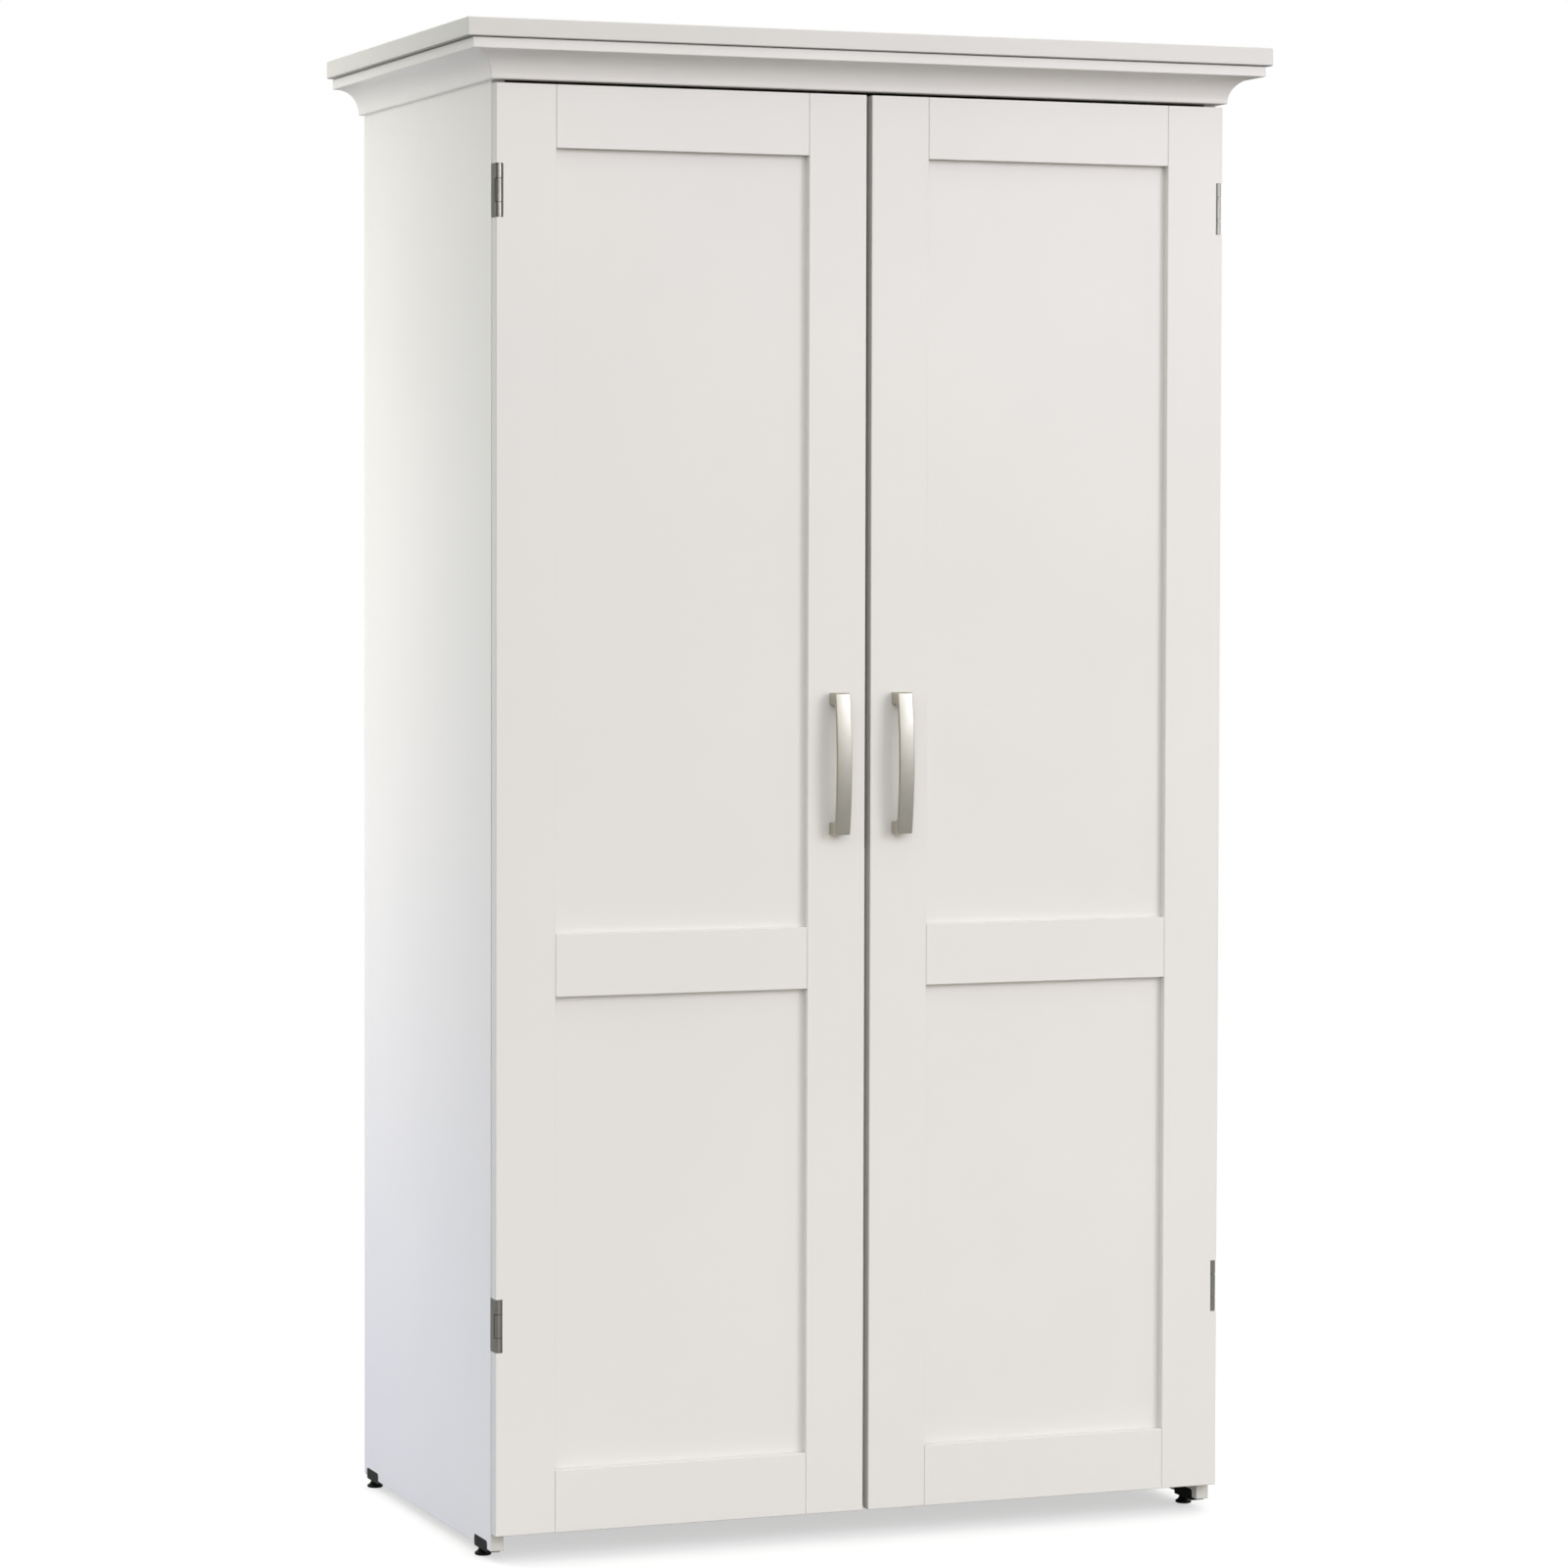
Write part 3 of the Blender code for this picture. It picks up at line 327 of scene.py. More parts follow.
def plated(name, colour, darker, rough, along, grain=1600.0):
    """Plated metal with brushing streaks; along is small on the axis the streaks follow."""
    finish, tree, shader = new_finish(name, metallic=1.0)
    streaks = cloudy(tree, position(tree, along), grain, detail=2.0)
    broad = cloudy(tree, position(tree), 45.0, detail=2.0)
    tone = blended(tree, broad, colour, darker)
    tone = blended(tree, between(tree, streaks, 0.0, 0.45, 0.45, 0.8), tone, darker)
    roughness = between(tree, streaks, rough, rough + 0.12)
    roughness = sums(tree, "ADD", roughness, between(tree, broad, 0.0, 0.06))
    connect(tree, shader, tone, roughness, raised(tree, streaks, STREAK_HEIGHT, 0.4))
    return finish


satin_nickel = plated("satin_nickel", (0.60, 0.57, 0.49), (0.50, 0.475, 0.405), 0.30, UPRIGHT)
hinge_nickel = plated("hinge_nickel", (0.44, 0.425, 0.395), (0.33, 0.32, 0.295), 0.22, UPRIGHT)
zinc = plated("zinc_plate", (0.62, 0.63, 0.65), (0.52, 0.53, 0.55), 0.30, EVEN, grain=500.0)
print("metals:", satin_nickel.name, hinge_nickel.name, zinc.name)

# %% [markdown]
# ## Plastic and hardboard
#
# The feet and their housings are moulded in black, and the magnetic catch in brown. Moulded
# plastic keeps the fine spark-eroded grain of its mould, so the grain goes into the height and
# the roughness, with hardly any change of colour.

# %% Moulded plastic
MOULD_GRAIN_PER_METRE, MOULD_GRAIN_HEIGHT = 1200.0, 0.00005


def moulded(name, colour, lighter, rough=0.38, shine=0.5):
    """Moulded plastic with the fine grain of its mould."""
    finish, tree, shader = new_finish(name, Specular_IOR_Level=shine)
    grain = cloudy(tree, position(tree), MOULD_GRAIN_PER_METRE, detail=1.0)
    broad = cloudy(tree, position(tree), 60.0)
    connect(
        tree, shader, blended(tree, broad, colour, lighter),
        between(tree, grain, rough, rough + 0.14), raised(tree, grain, MOULD_GRAIN_HEIGHT, 0.4),
    )
    return finish


black_plastic = moulded(
    "black_plastic", (0.004, 0.004, 0.004), (0.009, 0.009, 0.009), shine=0.22
)
brown_plastic = moulded("brown_plastic", (0.085, 0.056, 0.038), (0.12, 0.08, 0.055))
magnet_black = moulded("magnet_black", (0.03, 0.03, 0.032), (0.05, 0.05, 0.052), rough=0.5)
print("plastics:", black_plastic.name, brown_plastic.name, magnet_black.name)

# %% [markdown]
# The back is thin hardboard. Its inner face is printed white to match the shelves, and its
# outer face shows the pressed fibres: short flecks that lie in every direction, over a faint
# mottle. One material serves both faces, because it can tell them apart by the direction that
# the face points in. The front sides of the sheets point to -Y.

# %% Hardboard, white inside and fibrous outside
BOARD_TONE, DARKER_BOARD = (0.625, 0.595, 0.545), (0.575, 0.54, 0.485)
FLECK_TONE = (0.50, 0.45, 0.385)
FIBRES_PER_METRE, FIBRE_HEIGHT, FIBRE_STRETCH = 420.0, 0.00008, 0.22


def printed_hardboard(name):
    """White where the sheet faces the front, and bare pressed fibre everywhere else."""
    finish, tree, shader = new_finish(name, Specular_IOR_Level=0.3)
    mottle = cloudy(tree, position(tree), 14.0, detail=4.0)
    level, upright = (
        cloudy(tree, position(tree, stretch), FIBRES_PER_METRE, detail=3.0, roughness=0.65)
        for stretch in ((1.0, 1.0, FIBRE_STRETCH), (FIBRE_STRETCH, 1.0, 1.0))
    )
    fibres = sums(tree, "MAXIMUM", level, upright)
    flecks = between(tree, fibres, 0.0, 1.0, 0.5, 0.72)
    board = blended(
        tree, between(tree, mottle, 0.0, 1.0, 0.35, 0.65), BOARD_TONE, DARKER_BOARD
    )
    board = blended(tree, flecks, board, FLECK_TONE)

    facing = add_node(tree, "ShaderNodeNewGeometry").outputs["True Normal"]
    turned_y = add_node(tree, "ShaderNodeSeparateXYZ", {"Vector": facing}).outputs["Y"]
    outside = between(tree, turned_y, 0.0, 1.0, -0.6, 0.2)
    colour = blended(tree, outside, INNER_WHITE, board)
    rough = sums(tree, "ADD", between(tree, outside, 0.42, 0.62), between(tree, flecks, 0.0, 0.12))
    connect(tree, shader, colour, rough, raised(tree, fibres, FIBRE_HEIGHT, 0.5))
    return finish


hardboard = printed_hardboard("hardboard")
print("back:", hardboard.name)

# %% [markdown]
# ## Dressing the ready-made parts
#
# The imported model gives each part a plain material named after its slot. Only the material in
# the slot is swapped; the shapes stay as they are. Laminate needs one more choice, because the
# doors, the crown and the sides each have their own mix.

# %% Give each part its finish
SLOT_FINISHES = {
    "inner_laminate": inner_laminate, "hardboard": hardboard, "satin_nickel": satin_nickel,
    "hinge_nickel": hinge_nickel, "black_plastic": black_plastic,
    "brown_plastic": brown_plastic, "zinc_plate": zinc,
}


def laminate_for(name):
    """The mix of laminate that suits a part, by its name."""
    if name.startswith("door_"):
        return door_laminate
    if name.startswith(("crown_", "cornice_")):
        return crown_laminate
    return side_laminate


dressed = {}
for name, part in nodes.items():
    packed = part.material_slots[0].material.name
    finish = next((SLOT_FINISHES[slot] for slot in SLOT_FINISHES if slot in packed), None)
    part.material_slots[0].material = finish or laminate_for(name)
    chosen = part.material_slots[0].material.name
    dressed[chosen] = dressed.get(chosen, 0) + 1
print("parts in each finish:", dressed)

# %% [markdown]
# ## Helpers for small hardware
#
# Screws, feet and handles are made from rings of points. They could be built from ready-made
# cylinders and cubes, but those would still need reshaping. One helper skins neighbouring rings
# with faces and closes the ends, and it serves for every small part below.

# %% Skinning rings
def skinned(rings):
    """A closed body over rings of points; an end is a single point, or is closed flat."""
    shape = bmesh.new()
    made = [[shape.verts.new(point) for point in ring] for ring in rings]
    around = max(len(ring) for ring in rings)
    for lower, upper in zip(made, made[1:]):
        for step in range(around):
            after = (step + 1) % around
            corners = [
                lower[step % len(lower)], lower[after % len(lower)],
                upper[after % len(upper)], upper[step % len(upper)],
            ]
            shape.faces.new(list(dict.fromkeys(corners)))
    for end in (made[0], made[-1]):
        if len(end) > 1:
            shape.faces.new(end)
    bmesh.ops.recalc_face_normals(shape, faces=shape.faces)
    mesh = bpy.data.meshes.new("skinned")
    shape.to_mesh(mesh)
    shape.free()
    return mesh


def merged(meshes):
    """Several meshes as one, in place of the separate ones."""
    shape = bmesh.new()
    for mesh in meshes:
        shape.from_mesh(mesh)
        bpy.data.meshes.remove(mesh)
    together = bpy.data.meshes.new("merged")
    shape.to_mesh(together)
    shape.free()
    return together


print("skins and merged meshes ready")

# %% [markdown]
# With one skin for everything, the common shapes take a line or two each: a turned part is
# rings round an axis, a slab is one outline at two places along X, and a block is one
# rectangle at two heights.

# %% Turned parts, slabs and blocks
def ring(radius, height, steps):
    """Points round the Z axis; a radius of 0 gives one point on the axis."""
    if radius == 0:
        return [(0.0, 0.0, height)]
    turns = [2 * math.pi * step / steps for step in range(steps)]
    return [(radius * math.cos(turn), radius * math.sin(turn), height) for turn in turns]


def turned(profile, steps):
    """Turn (radius, height) points about the Z axis."""
    return skinned([ring(radius, height, steps) for radius, height in profile])


def slab(outline, left, right):
    """Give an outline of (y, z) points a thickness, from left to right."""
    return skinned([[(x, y, z) for y, z in outline] for x in (left, right)])


def block(low, high):
    """A box between two corners."""
    base = [(low[0], low[1]), (high[0], low[1]), (high[0], high[1]), (low[0], high[1])]
    return skinned([[(x, y, z) for x, y in base] for z in (low[2], high[2])])


print("shape helpers ready")

# %% [markdown]
# Bevels and Booleans are modifiers, and the quickest way to a finished mesh is to let Blender
# work them out once and keep the result. A helper puts a mesh in a passing object, adds a
# modifier, copies the outcome and clears up after itself.

# %% Bevels and cuts
def worked(mesh, kind, **settings):
    """Apply one modifier to a mesh and give back the outcome."""
    passing = bpy.data.objects.new("passing", mesh)
    bpy.context.scene.collection.objects.link(passing)
    modifier = passing.modifiers.new(kind.lower(), kind)
    for name, value in settings.items():
        setattr(modifier, name, value)
    bpy.context.view_layer.update()
    graph = bpy.context.evaluated_depsgraph_get()
    result = bpy.data.meshes.new_from_object(passing.evaluated_get(graph))
    bpy.data.objects.remove(passing)
    return result


def rounded(mesh, width, segments=3, sharper_than=30):
    """Round the edges that are sharper than an angle in degrees."""
    return worked(
        mesh, "BEVEL", width=width, segments=segments, limit_method="ANGLE",
        angle_limit=math.radians(sharper_than),
    )


def carved(mesh, tool_mesh):
    """Cut the tool's shape out of a mesh."""
    tool = bpy.data.objects.new("tool", tool_mesh)
    bpy.context.scene.collection.objects.link(tool)
    result = worked(
        mesh, "BOOLEAN", object=tool, operation="DIFFERENCE", solver="EXACT", use_self=True
    )
    bpy.data.objects.remove(tool)
    return result


print("bevels and cuts ready")

# %% [markdown]
# Small hardware comes in numbers, so one mesh is copied to many places. An object of its own
# for every screw would crowd the scene. The screws of one door are joined into one piece
# instead, and that piece is tied to the door's body, so that it swings with the door.

# %% Copies and pieces
TURN_BETWEEN_COPIES = 37


def copies(mesh, places):
    """A copy of a mesh at each place; a place is a point and the way the copy's top points."""
    placed = []
    for number, (point, towards) in enumerate(places):
        spin = Matrix.Rotation(math.radians(TURN_BETWEEN_COPIES * number), 4, "Z")
        aim = Vector(towards).to_track_quat("Z", "Y").to_matrix().to_4x4()
        one = mesh.copy()
        one.transform(Matrix.Translation(point) @ aim @ spin)
        placed.append(one)
    return merged(placed)


def add_piece(name, mesh, finish, body, crisp=30):
    """Put a mesh in the scene with its finish, and let it ride on a body of the cabinet."""
    mesh.materials.clear()
    mesh.materials.append(finish)
    mesh.shade_smooth()
    mesh.set_sharp_from_angle(angle=math.radians(crisp))
    piece = bpy.data.objects.new(name, mesh)
    bpy.context.scene.collection.objects.link(piece)
    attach(piece, body)
    print(name, "faces:", len(mesh.polygons))
    return piece


print("degrees between two copies:", TURN_BETWEEN_COPIES)

# %% [markdown]
# ## Bow handles
#
# Each handle is a flat bar of cast zinc that bows away from the door, with a square post at each
# end, brushed along its length. It could be a curve with a thickness, but then the posts and the
# rounded inner corners would need joining on. Seen from the side it is one outline, so that
# outline is drawn from arcs and given the bar's width. The real bar is a touch rounder at its
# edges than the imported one, so this one takes its place.

# %% Outline of a handle, seen from the side
HANDLE_END_RISE = 0.0187
HANDLE_POST = 0.0142
HANDLE_STRAP = 0.0042
INSIDE_CORNER, OUTSIDE_CORNER = 0.0070, 0.0025
BOW_STEPS, CORNER_STEPS = 48, 8


def arc(centre, radius, start, end, steps):
    """Points on an arc, with angles in degrees from the first axis towards the second."""
    turns = [math.radians(start + (end - start) * step / steps) for step in range(steps + 1)]
    return [
        (centre[0] + radius * math.cos(turn), centre[1] + radius * math.sin(turn))
        for turn in turns
    ]


def handle_outline(length, rise):
    """(rise, height) points; a large circle gives the bow its even curve."""
    half = length / 2
    bow = rise - HANDLE_END_RISE
    radius = (half * half + bow * bow) / (2 * bow)
    centre = (rise - radius, 0.0)
    inside = radius - HANDLE_STRAP
    post = half - HANDLE_POST
    outer_end = math.degrees(math.asin((half - OUTSIDE_CORNER) / radius))
    inner_end = math.degrees(math.asin((post - INSIDE_CORNER) / inside))
    shoulder = (centre[0] + radius * math.cos(math.radians(outer_end)) - OUTSIDE_CORNER,
                half - OUTSIDE_CORNER)
    hollow = (centre[0] + inside * math.cos(math.radians(inner_end)) - INSIDE_CORNER,
              post - INSIDE_CORNER)
    low_shoulder, low_hollow = (shoulder[0], -shoulder[1]), (hollow[0], -hollow[1])
    outline = [(0.0, -half)]
    outline += arc(low_shoulder, OUTSIDE_CORNER, -90, -outer_end, CORNER_STEPS)
    outline += arc(centre, radius, -outer_end, outer_end, BOW_STEPS)[1:]
    outline += arc(shoulder, OUTSIDE_CORNER, outer_end, 90, CORNER_STEPS)[1:]
    outline += [(0.0, half), (0.0, post)]
    outline += arc(hollow, INSIDE_CORNER, 90, inner_end, CORNER_STEPS)
    outline += arc(centre, inside, inner_end, -inner_end, BOW_STEPS)[1:]
    outline += arc(low_hollow, INSIDE_CORNER, -inner_end, -90, CORNER_STEPS)[1:]
    outline += [(0.0, -post)]
    return outline


print("points in a short handle's outline:", len(handle_outline(0.10, 0.025)))

# %% [markdown]
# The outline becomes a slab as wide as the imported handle, and a bevel takes the sharpness off
# its edges. Only edges of more than 60 degrees are rounded, so the arcs stay as they are.

# %% Make both handles
SIDES = {"left": -1, "right": 1}
HANDLE_EDGE = 0.0013


def bow_handle(low, high):
    """The outline between a box's left and right, standing out towards -Y from its back."""
    middle = (low.z + high.z) / 2
    outline = handle_outline(high.z - low.z, high.y - low.y)
    bar = slab([(high.y - out, middle + up) for out, up in outline], low.x, high.x)
    return rounded(bar, HANDLE_EDGE, segments=4, sharper_than=60)


for side in SIDES:
    low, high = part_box(f"door_{side}_handle")
    handle = add_piece(
        f"bow_handle_{side}", bow_handle(low, high), satin_nickel, f"door_{side}"
    )
    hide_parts(f"door_{side}_handle")

# %% [markdown]
# ## Cross-head screws
#
# Every fitting is held by cross-head screws. The head is turned: a low dome with a crisp rim.
# The cross is two tapered bars cut out of it. One head is made for each kind of screw and then
# copied to its places, each turned by a different angle, because nobody lines screws up.

# %% The cross in a screw head
CROSS_LONG, CROSS_WIDE = 0.62, 0.17
CROSS_FLOOR, CROSS_MOUTH = 0.55, 1.5


def cross_cutter(radius, top, depth):
    """Two crossed bars, narrower at the bottom, in shares of the head's radius."""
    bars = []
    for turn in (0, 90):
        spin = Matrix.Rotation(math.radians(turn), 3, "Z")
        levels = []
        for height, scale in ((top - depth, CROSS_FLOOR), (top + depth, CROSS_MOUTH)):
            x, y = radius * CROSS_LONG * scale, radius * CROSS_WIDE * scale
            levels.append([
                spin @ Vector((a * x, b * y, height))
                for a, b in ((-1, -1), (1, -1), (1, 1), (-1, 1))
            ])
        bars.append(skinned(levels))
    return merged(bars)


print("length and width of the cross, as shares of the head:", CROSS_LONG, CROSS_WIDE)

# %% [markdown]
# The heads differ only in a few sizes, so one helper makes them all: a hinge has nearly flush
# heads, a handle and the catch have domed ones, and a cam is a wide flat drum.

# %% Screw heads
HEAD_STEPS, DOME_STEPS = 32, 6
UNDERSIDE_SHARE = 0.96
CROSS_DEPTH_SHARE, DEEPEST_BELOW = 0.55, 0.8


def screw_head(radius, rim, dome, below):
    """A head that stands on the plane z = 0, with a little more under it, inside the plate."""
    top = rim + dome
    profile = [(0, -below), (radius * UNDERSIDE_SHARE, -below), (radius, 0.0), (radius, rim)]
    for step in range(1, DOME_STEPS):
        share = step / DOME_STEPS
        lift = math.sqrt(1 - (1 - share) ** 2)
        profile.append((radius * (1 - share), rim + dome * lift))
    profile.append((0, top))
    depth = min(radius * CROSS_DEPTH_SHARE, top + below * DEEPEST_BELOW)
    return carved(turned(profile, HEAD_STEPS), cross_cutter(radius, top, depth))


hinge_head = screw_head(radius=0.0034, rim=0.00012, dome=0.00026, below=0.0005)
handle_head = screw_head(radius=0.0041, rim=0.0006, dome=0.0012, below=0.0002)
plate_head = screw_head(radius=0.0026, rim=0.00004, dome=0.00008, below=0.0006)
catch_head = screw_head(radius=0.0029, rim=0.0005, dome=0.0010, below=0.0002)
cam_head = screw_head(radius=0.0074, rim=0.00010, dome=0.00015, below=0.0009)
print("faces in one hinge screw:", len(hinge_head.polygons))

# %% [markdown]
# Each hinge leaf takes three screws in a triangle. On the frame they sit on the part of the leaf
# that wraps onto the inner face of the side panel. On the door they sit on the back of the
# stile, nearly flush, because the door closes close over the panel's edge.

# %% Hinge screws
SCREW_SPREAD = 0.0205
ACROSS_FRAME_LEAF = (0.42, 0.70, 0.42)
FROM_DOOR_LEAF_EDGE = (0.0150, 0.0062, 0.0150)
HEIGHTS = (-SCREW_SPREAD, 0.0, SCREW_SPREAD)


def hinge_places(side, end):
    """Screw places on the frame's leaf and on the door's leaf of one hinge."""
    sign = SIDES[side]
    frame_low, frame_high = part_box(f"frame_hinge_leaf_{side}_{end}")
    door_low, door_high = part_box(f"door_{side}_hinge_leaf_{end}")
    height = (frame_low.z + frame_high.z) / 2
    inner_face = min(abs(frame_low.x), abs(frame_high.x)) * sign
    depth = frame_high.y - side_low.y
    on_frame = [
        ((inner_face, side_low.y + depth * across, height + up), (-sign, 0, 0))
        for across, up in zip(ACROSS_FRAME_LEAF, HEIGHTS)
    ]
    leaf_edge = min(abs(door_low.x), abs(door_high.x))
    on_door = [
        ((sign * (leaf_edge + across), door_high.y, height + up), (0, 1, 0))
        for across, up in zip(FROM_DOOR_LEAF_EDGE, HEIGHTS)
    ]
    return on_frame, on_door


frame_places = []
for side in SIDES:
    door_places = []
    for end in ("top", "bottom"):
        on_frame, on_door = hinge_places(side, end)
        frame_places += on_frame
        door_places += on_door
    screws = copies(hinge_head, door_places)
    add_piece(f"hinge_screws_door_{side}", screws, zinc, f"door_{side}")
screws = copies(hinge_head, frame_places)
add_piece("hinge_screws_frame", screws, zinc, "carcass")

# %% [markdown]
# The handles are screwed on from behind, through the stile, one pan-head screw into each post.
# The strike plates that meet the magnetic catch have one flush screw each.

# %% Handle screws and strike screws
door_back = stile_high.y
for side in SIDES:
    low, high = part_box(f"door_{side}_handle")
    middle_x = (low.x + high.x) / 2
    posts = [low.z + HANDLE_POST / 2, high.z - HANDLE_POST / 2]
    screws = copies(handle_head, [((middle_x, door_back, height), (0, 1, 0)) for height in posts])
    add_piece(f"handle_screws_{side}", screws, zinc, f"door_{side}")
    low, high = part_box(f"door_{side}_strike_plate")
    centre = ((low.x + high.x) / 2, high.y, (low.z + high.z) / 2)
    screw = copies(plate_head, [(centre, (0, 1, 0))])
    add_piece(f"strike_screw_{side}", screw, zinc, f"door_{side}")

# %% [markdown]
# ## The magnetic catch
#
# A double magnetic catch holds both doors shut. It is a plastic case, tall in front and low
# behind, where two screws hold it to the fixed shelf. In its front are two windows. In each, a
# dark magnet lies between two steel strips that touch the door's strike plate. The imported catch
# is a plain block of the same size, so a detailed one takes its place.

# %% Case of the catch
POLES_PROUD, CASE_THICK, LEDGE_HIGH, CASE_EDGE = 0.0006, 0.0088, 0.0040, 0.0007
POLE_MIDDLE, WINDOW_HALF, WINDOW_DEEP = 0.0135, 0.0066, 0.0016
UNDER_WINDOW, OVER_WINDOW = 0.0024, 0.0019
CUT_CLEAR = 0.001

case_low, case_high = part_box("magnetic_catch")
case_front = case_low.y + POLES_PROUD
case_step = case_low.y + CASE_THICK
ledge_top = case_low.z + LEDGE_HIGH
outline = [
    (case_front, case_low.z), (case_high.y, case_low.z), (case_high.y, ledge_top),
    (case_step, ledge_top), (case_step, case_high.z), (case_front, case_high.z),
]
case_mesh = rounded(slab(outline, case_low.x, case_high.x), CASE_EDGE)

window_low, window_high = case_low.z + UNDER_WINDOW, case_high.z - OVER_WINDOW
for middle in (-POLE_MIDDLE, POLE_MIDDLE):
    window = block((middle - WINDOW_HALF, case_front - CUT_CLEAR, window_low),
                   (middle + WINDOW_HALF, case_front + WINDOW_DEEP, window_high))
    case_mesh = carved(case_mesh, window)
case = add_piece("catch_case", case_mesh, brown_plastic, "carcass")
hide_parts("magnetic_catch")

# %% [markdown]
# The magnets and strips are small blocks with softened edges. The strips reach a little
# further forward than the magnets, because only the steel touches the strike plate.

# %% Magnets, steel strips and screws of the catch
BLOCK_EDGE, SIDE_GAP, BACK_GAP = 0.0002, 0.0003, 0.0001
MAGNET_SET_BACK, MAGNET_INSET = 0.0008, 0.0020
STRIP_INSET, STRIP_HALF, STRIP_SET_BACK = 0.0011, 0.0006, 0.00005

half = WINDOW_HALF - SIDE_GAP
poles_back = case_front + WINDOW_DEEP - BACK_GAP
magnets, strips = [], []
for middle in (-POLE_MIDDLE, POLE_MIDDLE):
    left, right = middle - half, middle + half
    magnets.append(rounded(block(
        (left, case_front + MAGNET_SET_BACK, window_low + MAGNET_INSET),
        (right, poles_back, window_high - MAGNET_INSET)), BLOCK_EDGE))
    for height in (window_low + STRIP_INSET, window_high - STRIP_INSET):
        strips.append(rounded(block(
            (left, case_low.y + STRIP_SET_BACK, height - STRIP_HALF),
            (right, poles_back, height + STRIP_HALF)), BLOCK_EDGE))
add_piece("catch_magnets", merged(magnets), magnet_black, "carcass")
add_piece("catch_steel_strips", merged(strips), zinc, "carcass")

screw_y = (case_step + case_high.y) / 2
places = [((x, screw_y, ledge_top), (0, 0, 1)) for x in (-POLE_MIDDLE, POLE_MIDDLE)]
add_piece("catch_screws", copies(catch_head, places), zinc, "carcass")

# %% [markdown]
# ## Levelling feet
#
# Four moulded feet let the cabinet stand level: a disc with grips round its edge, a flared neck,
# and a threaded stem that turns in its housing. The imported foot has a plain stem. A real thread
# is a ridge that climbs one pitch with each turn, and a simple way to make it is to turn the
# stem as usual, but let each point's radius follow how far its height is along the pitch.

# %% Grips and thread
FOOT_STEPS, GRIPS = 48, 16
THREAD_PITCH, THREAD_DEPTH, ROWS_PER_TURN = 0.0015, 0.0005, 8


def gripped_ring(radius, height, groove):
    """A ring whose edge dips in for the grips."""
    points = []
    for step in range(FOOT_STEPS):
        turn = 2 * math.pi * step / FOOT_STEPS
        dip = groove * max(0.0, math.cos(GRIPS * turn)) ** 2
        reach = radius - dip
        points.append((reach * math.cos(turn), reach * math.sin(turn), height))
    return points


def threaded_ring(crest, height, fade):
    """A ring of the stem; fade runs from 0, plain, to 1, the full thread."""
    points = []
    for step in range(FOOT_STEPS):
        turn = 2 * math.pi * step / FOOT_STEPS
        share = (height / THREAD_PITCH - step / FOOT_STEPS) % 1.0
        groove = abs(2 * share - 1)
        reach = crest - THREAD_DEPTH * fade * groove
        points.append((reach * math.cos(turn), reach * math.sin(turn), height))
    return points


print("thread turns on a 26 mm stem:", round(0.026 / THREAD_PITCH, 1))

# %% [markdown]
# The whole foot is one skin from the middle of its sole to the top of its stem: the disc's
# rings, then a flare that follows a power curve, then the collar, then the thread, which
# fades in over its first turn and out over its last.

# %% One levelling foot
DISC_TOP, NECK_TOP, COLLAR_TOP = 0.0032, 0.0077, 0.0097
COLLAR, STEM = 0.0052, 0.0040
COLLAR_CHAMFER, STEM_CHAMFER = 0.0003, 0.0006
NECK_INSET, NECK_STEPS, FLARE_POWER = 0.0012, 8, 1.6
GRIP_DEPTH = 0.0006
DISC_RINGS = [  # how far in from the rim, height, depth of the grips
    (0.0012, 0.0, 0.0), (0.0003, 0.0005, 0.0), (0.0, 0.0009, GRIP_DEPTH),
    (0.0, 0.0026, GRIP_DEPTH), (0.0004, 0.0031, 0.0), (0.0010, DISC_TOP, 0.0),
]


def foot_mesh(radius, stem_top):
    """A foot with a disc of the given radius, standing on z = 0."""
    rings = [ring(0, 0.0, FOOT_STEPS)]
    rings += [gripped_ring(radius - inset, height, deep) for inset, height, deep in DISC_RINGS]
    for step in range(1, NECK_STEPS + 1):
        share = step / NECK_STEPS
        flare = (radius - NECK_INSET - COLLAR) * (1 - share) ** FLARE_POWER
        height = DISC_TOP + (NECK_TOP - DISC_TOP) * share
        rings.append(ring(COLLAR + flare, height, FOOT_STEPS))
    rings += [
        ring(COLLAR, COLLAR_TOP - COLLAR_CHAMFER, FOOT_STEPS),
        ring(COLLAR - COLLAR_CHAMFER, COLLAR_TOP, FOOT_STEPS), ring(STEM, COLLAR_TOP, FOOT_STEPS),
    ]
    rows = int((stem_top - COLLAR_TOP) / THREAD_PITCH * ROWS_PER_TURN)
    for row in range(1, rows):
        fade = min(1.0, row / ROWS_PER_TURN, (rows - row) / ROWS_PER_TURN)
        rings.append(threaded_ring(STEM, COLLAR_TOP + row * THREAD_PITCH / ROWS_PER_TURN, fade))
    rings += [ring(STEM - STEM_CHAMFER, stem_top, FOOT_STEPS), ring(0, stem_top, FOOT_STEPS)]
    return skinned(rings)


print("height of the disc:", DISC_TOP)

# %% [markdown]
# Each foot takes its radius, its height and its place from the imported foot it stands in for,
# and rides on that foot's own body, so that it moves when the leveller is screwed out.

# %% Put the four feet in place
for side in SIDES:
    for end in ("front", "back"):
        name = f"{side}_{end}"
        low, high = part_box(f"leveller_foot_{name}")
        mesh = foot_mesh((high.x - low.x) / 2, high.z)
        mesh.transform(Matrix.Translation(((low.x + high.x) / 2, (low.y + high.y) / 2, 0.0)))
        foot = add_piece(f"levelling_foot_{name}", mesh, black_plastic,
                         f"foot_{name}", crisp=50)
        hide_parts(f"leveller_foot_{name}")

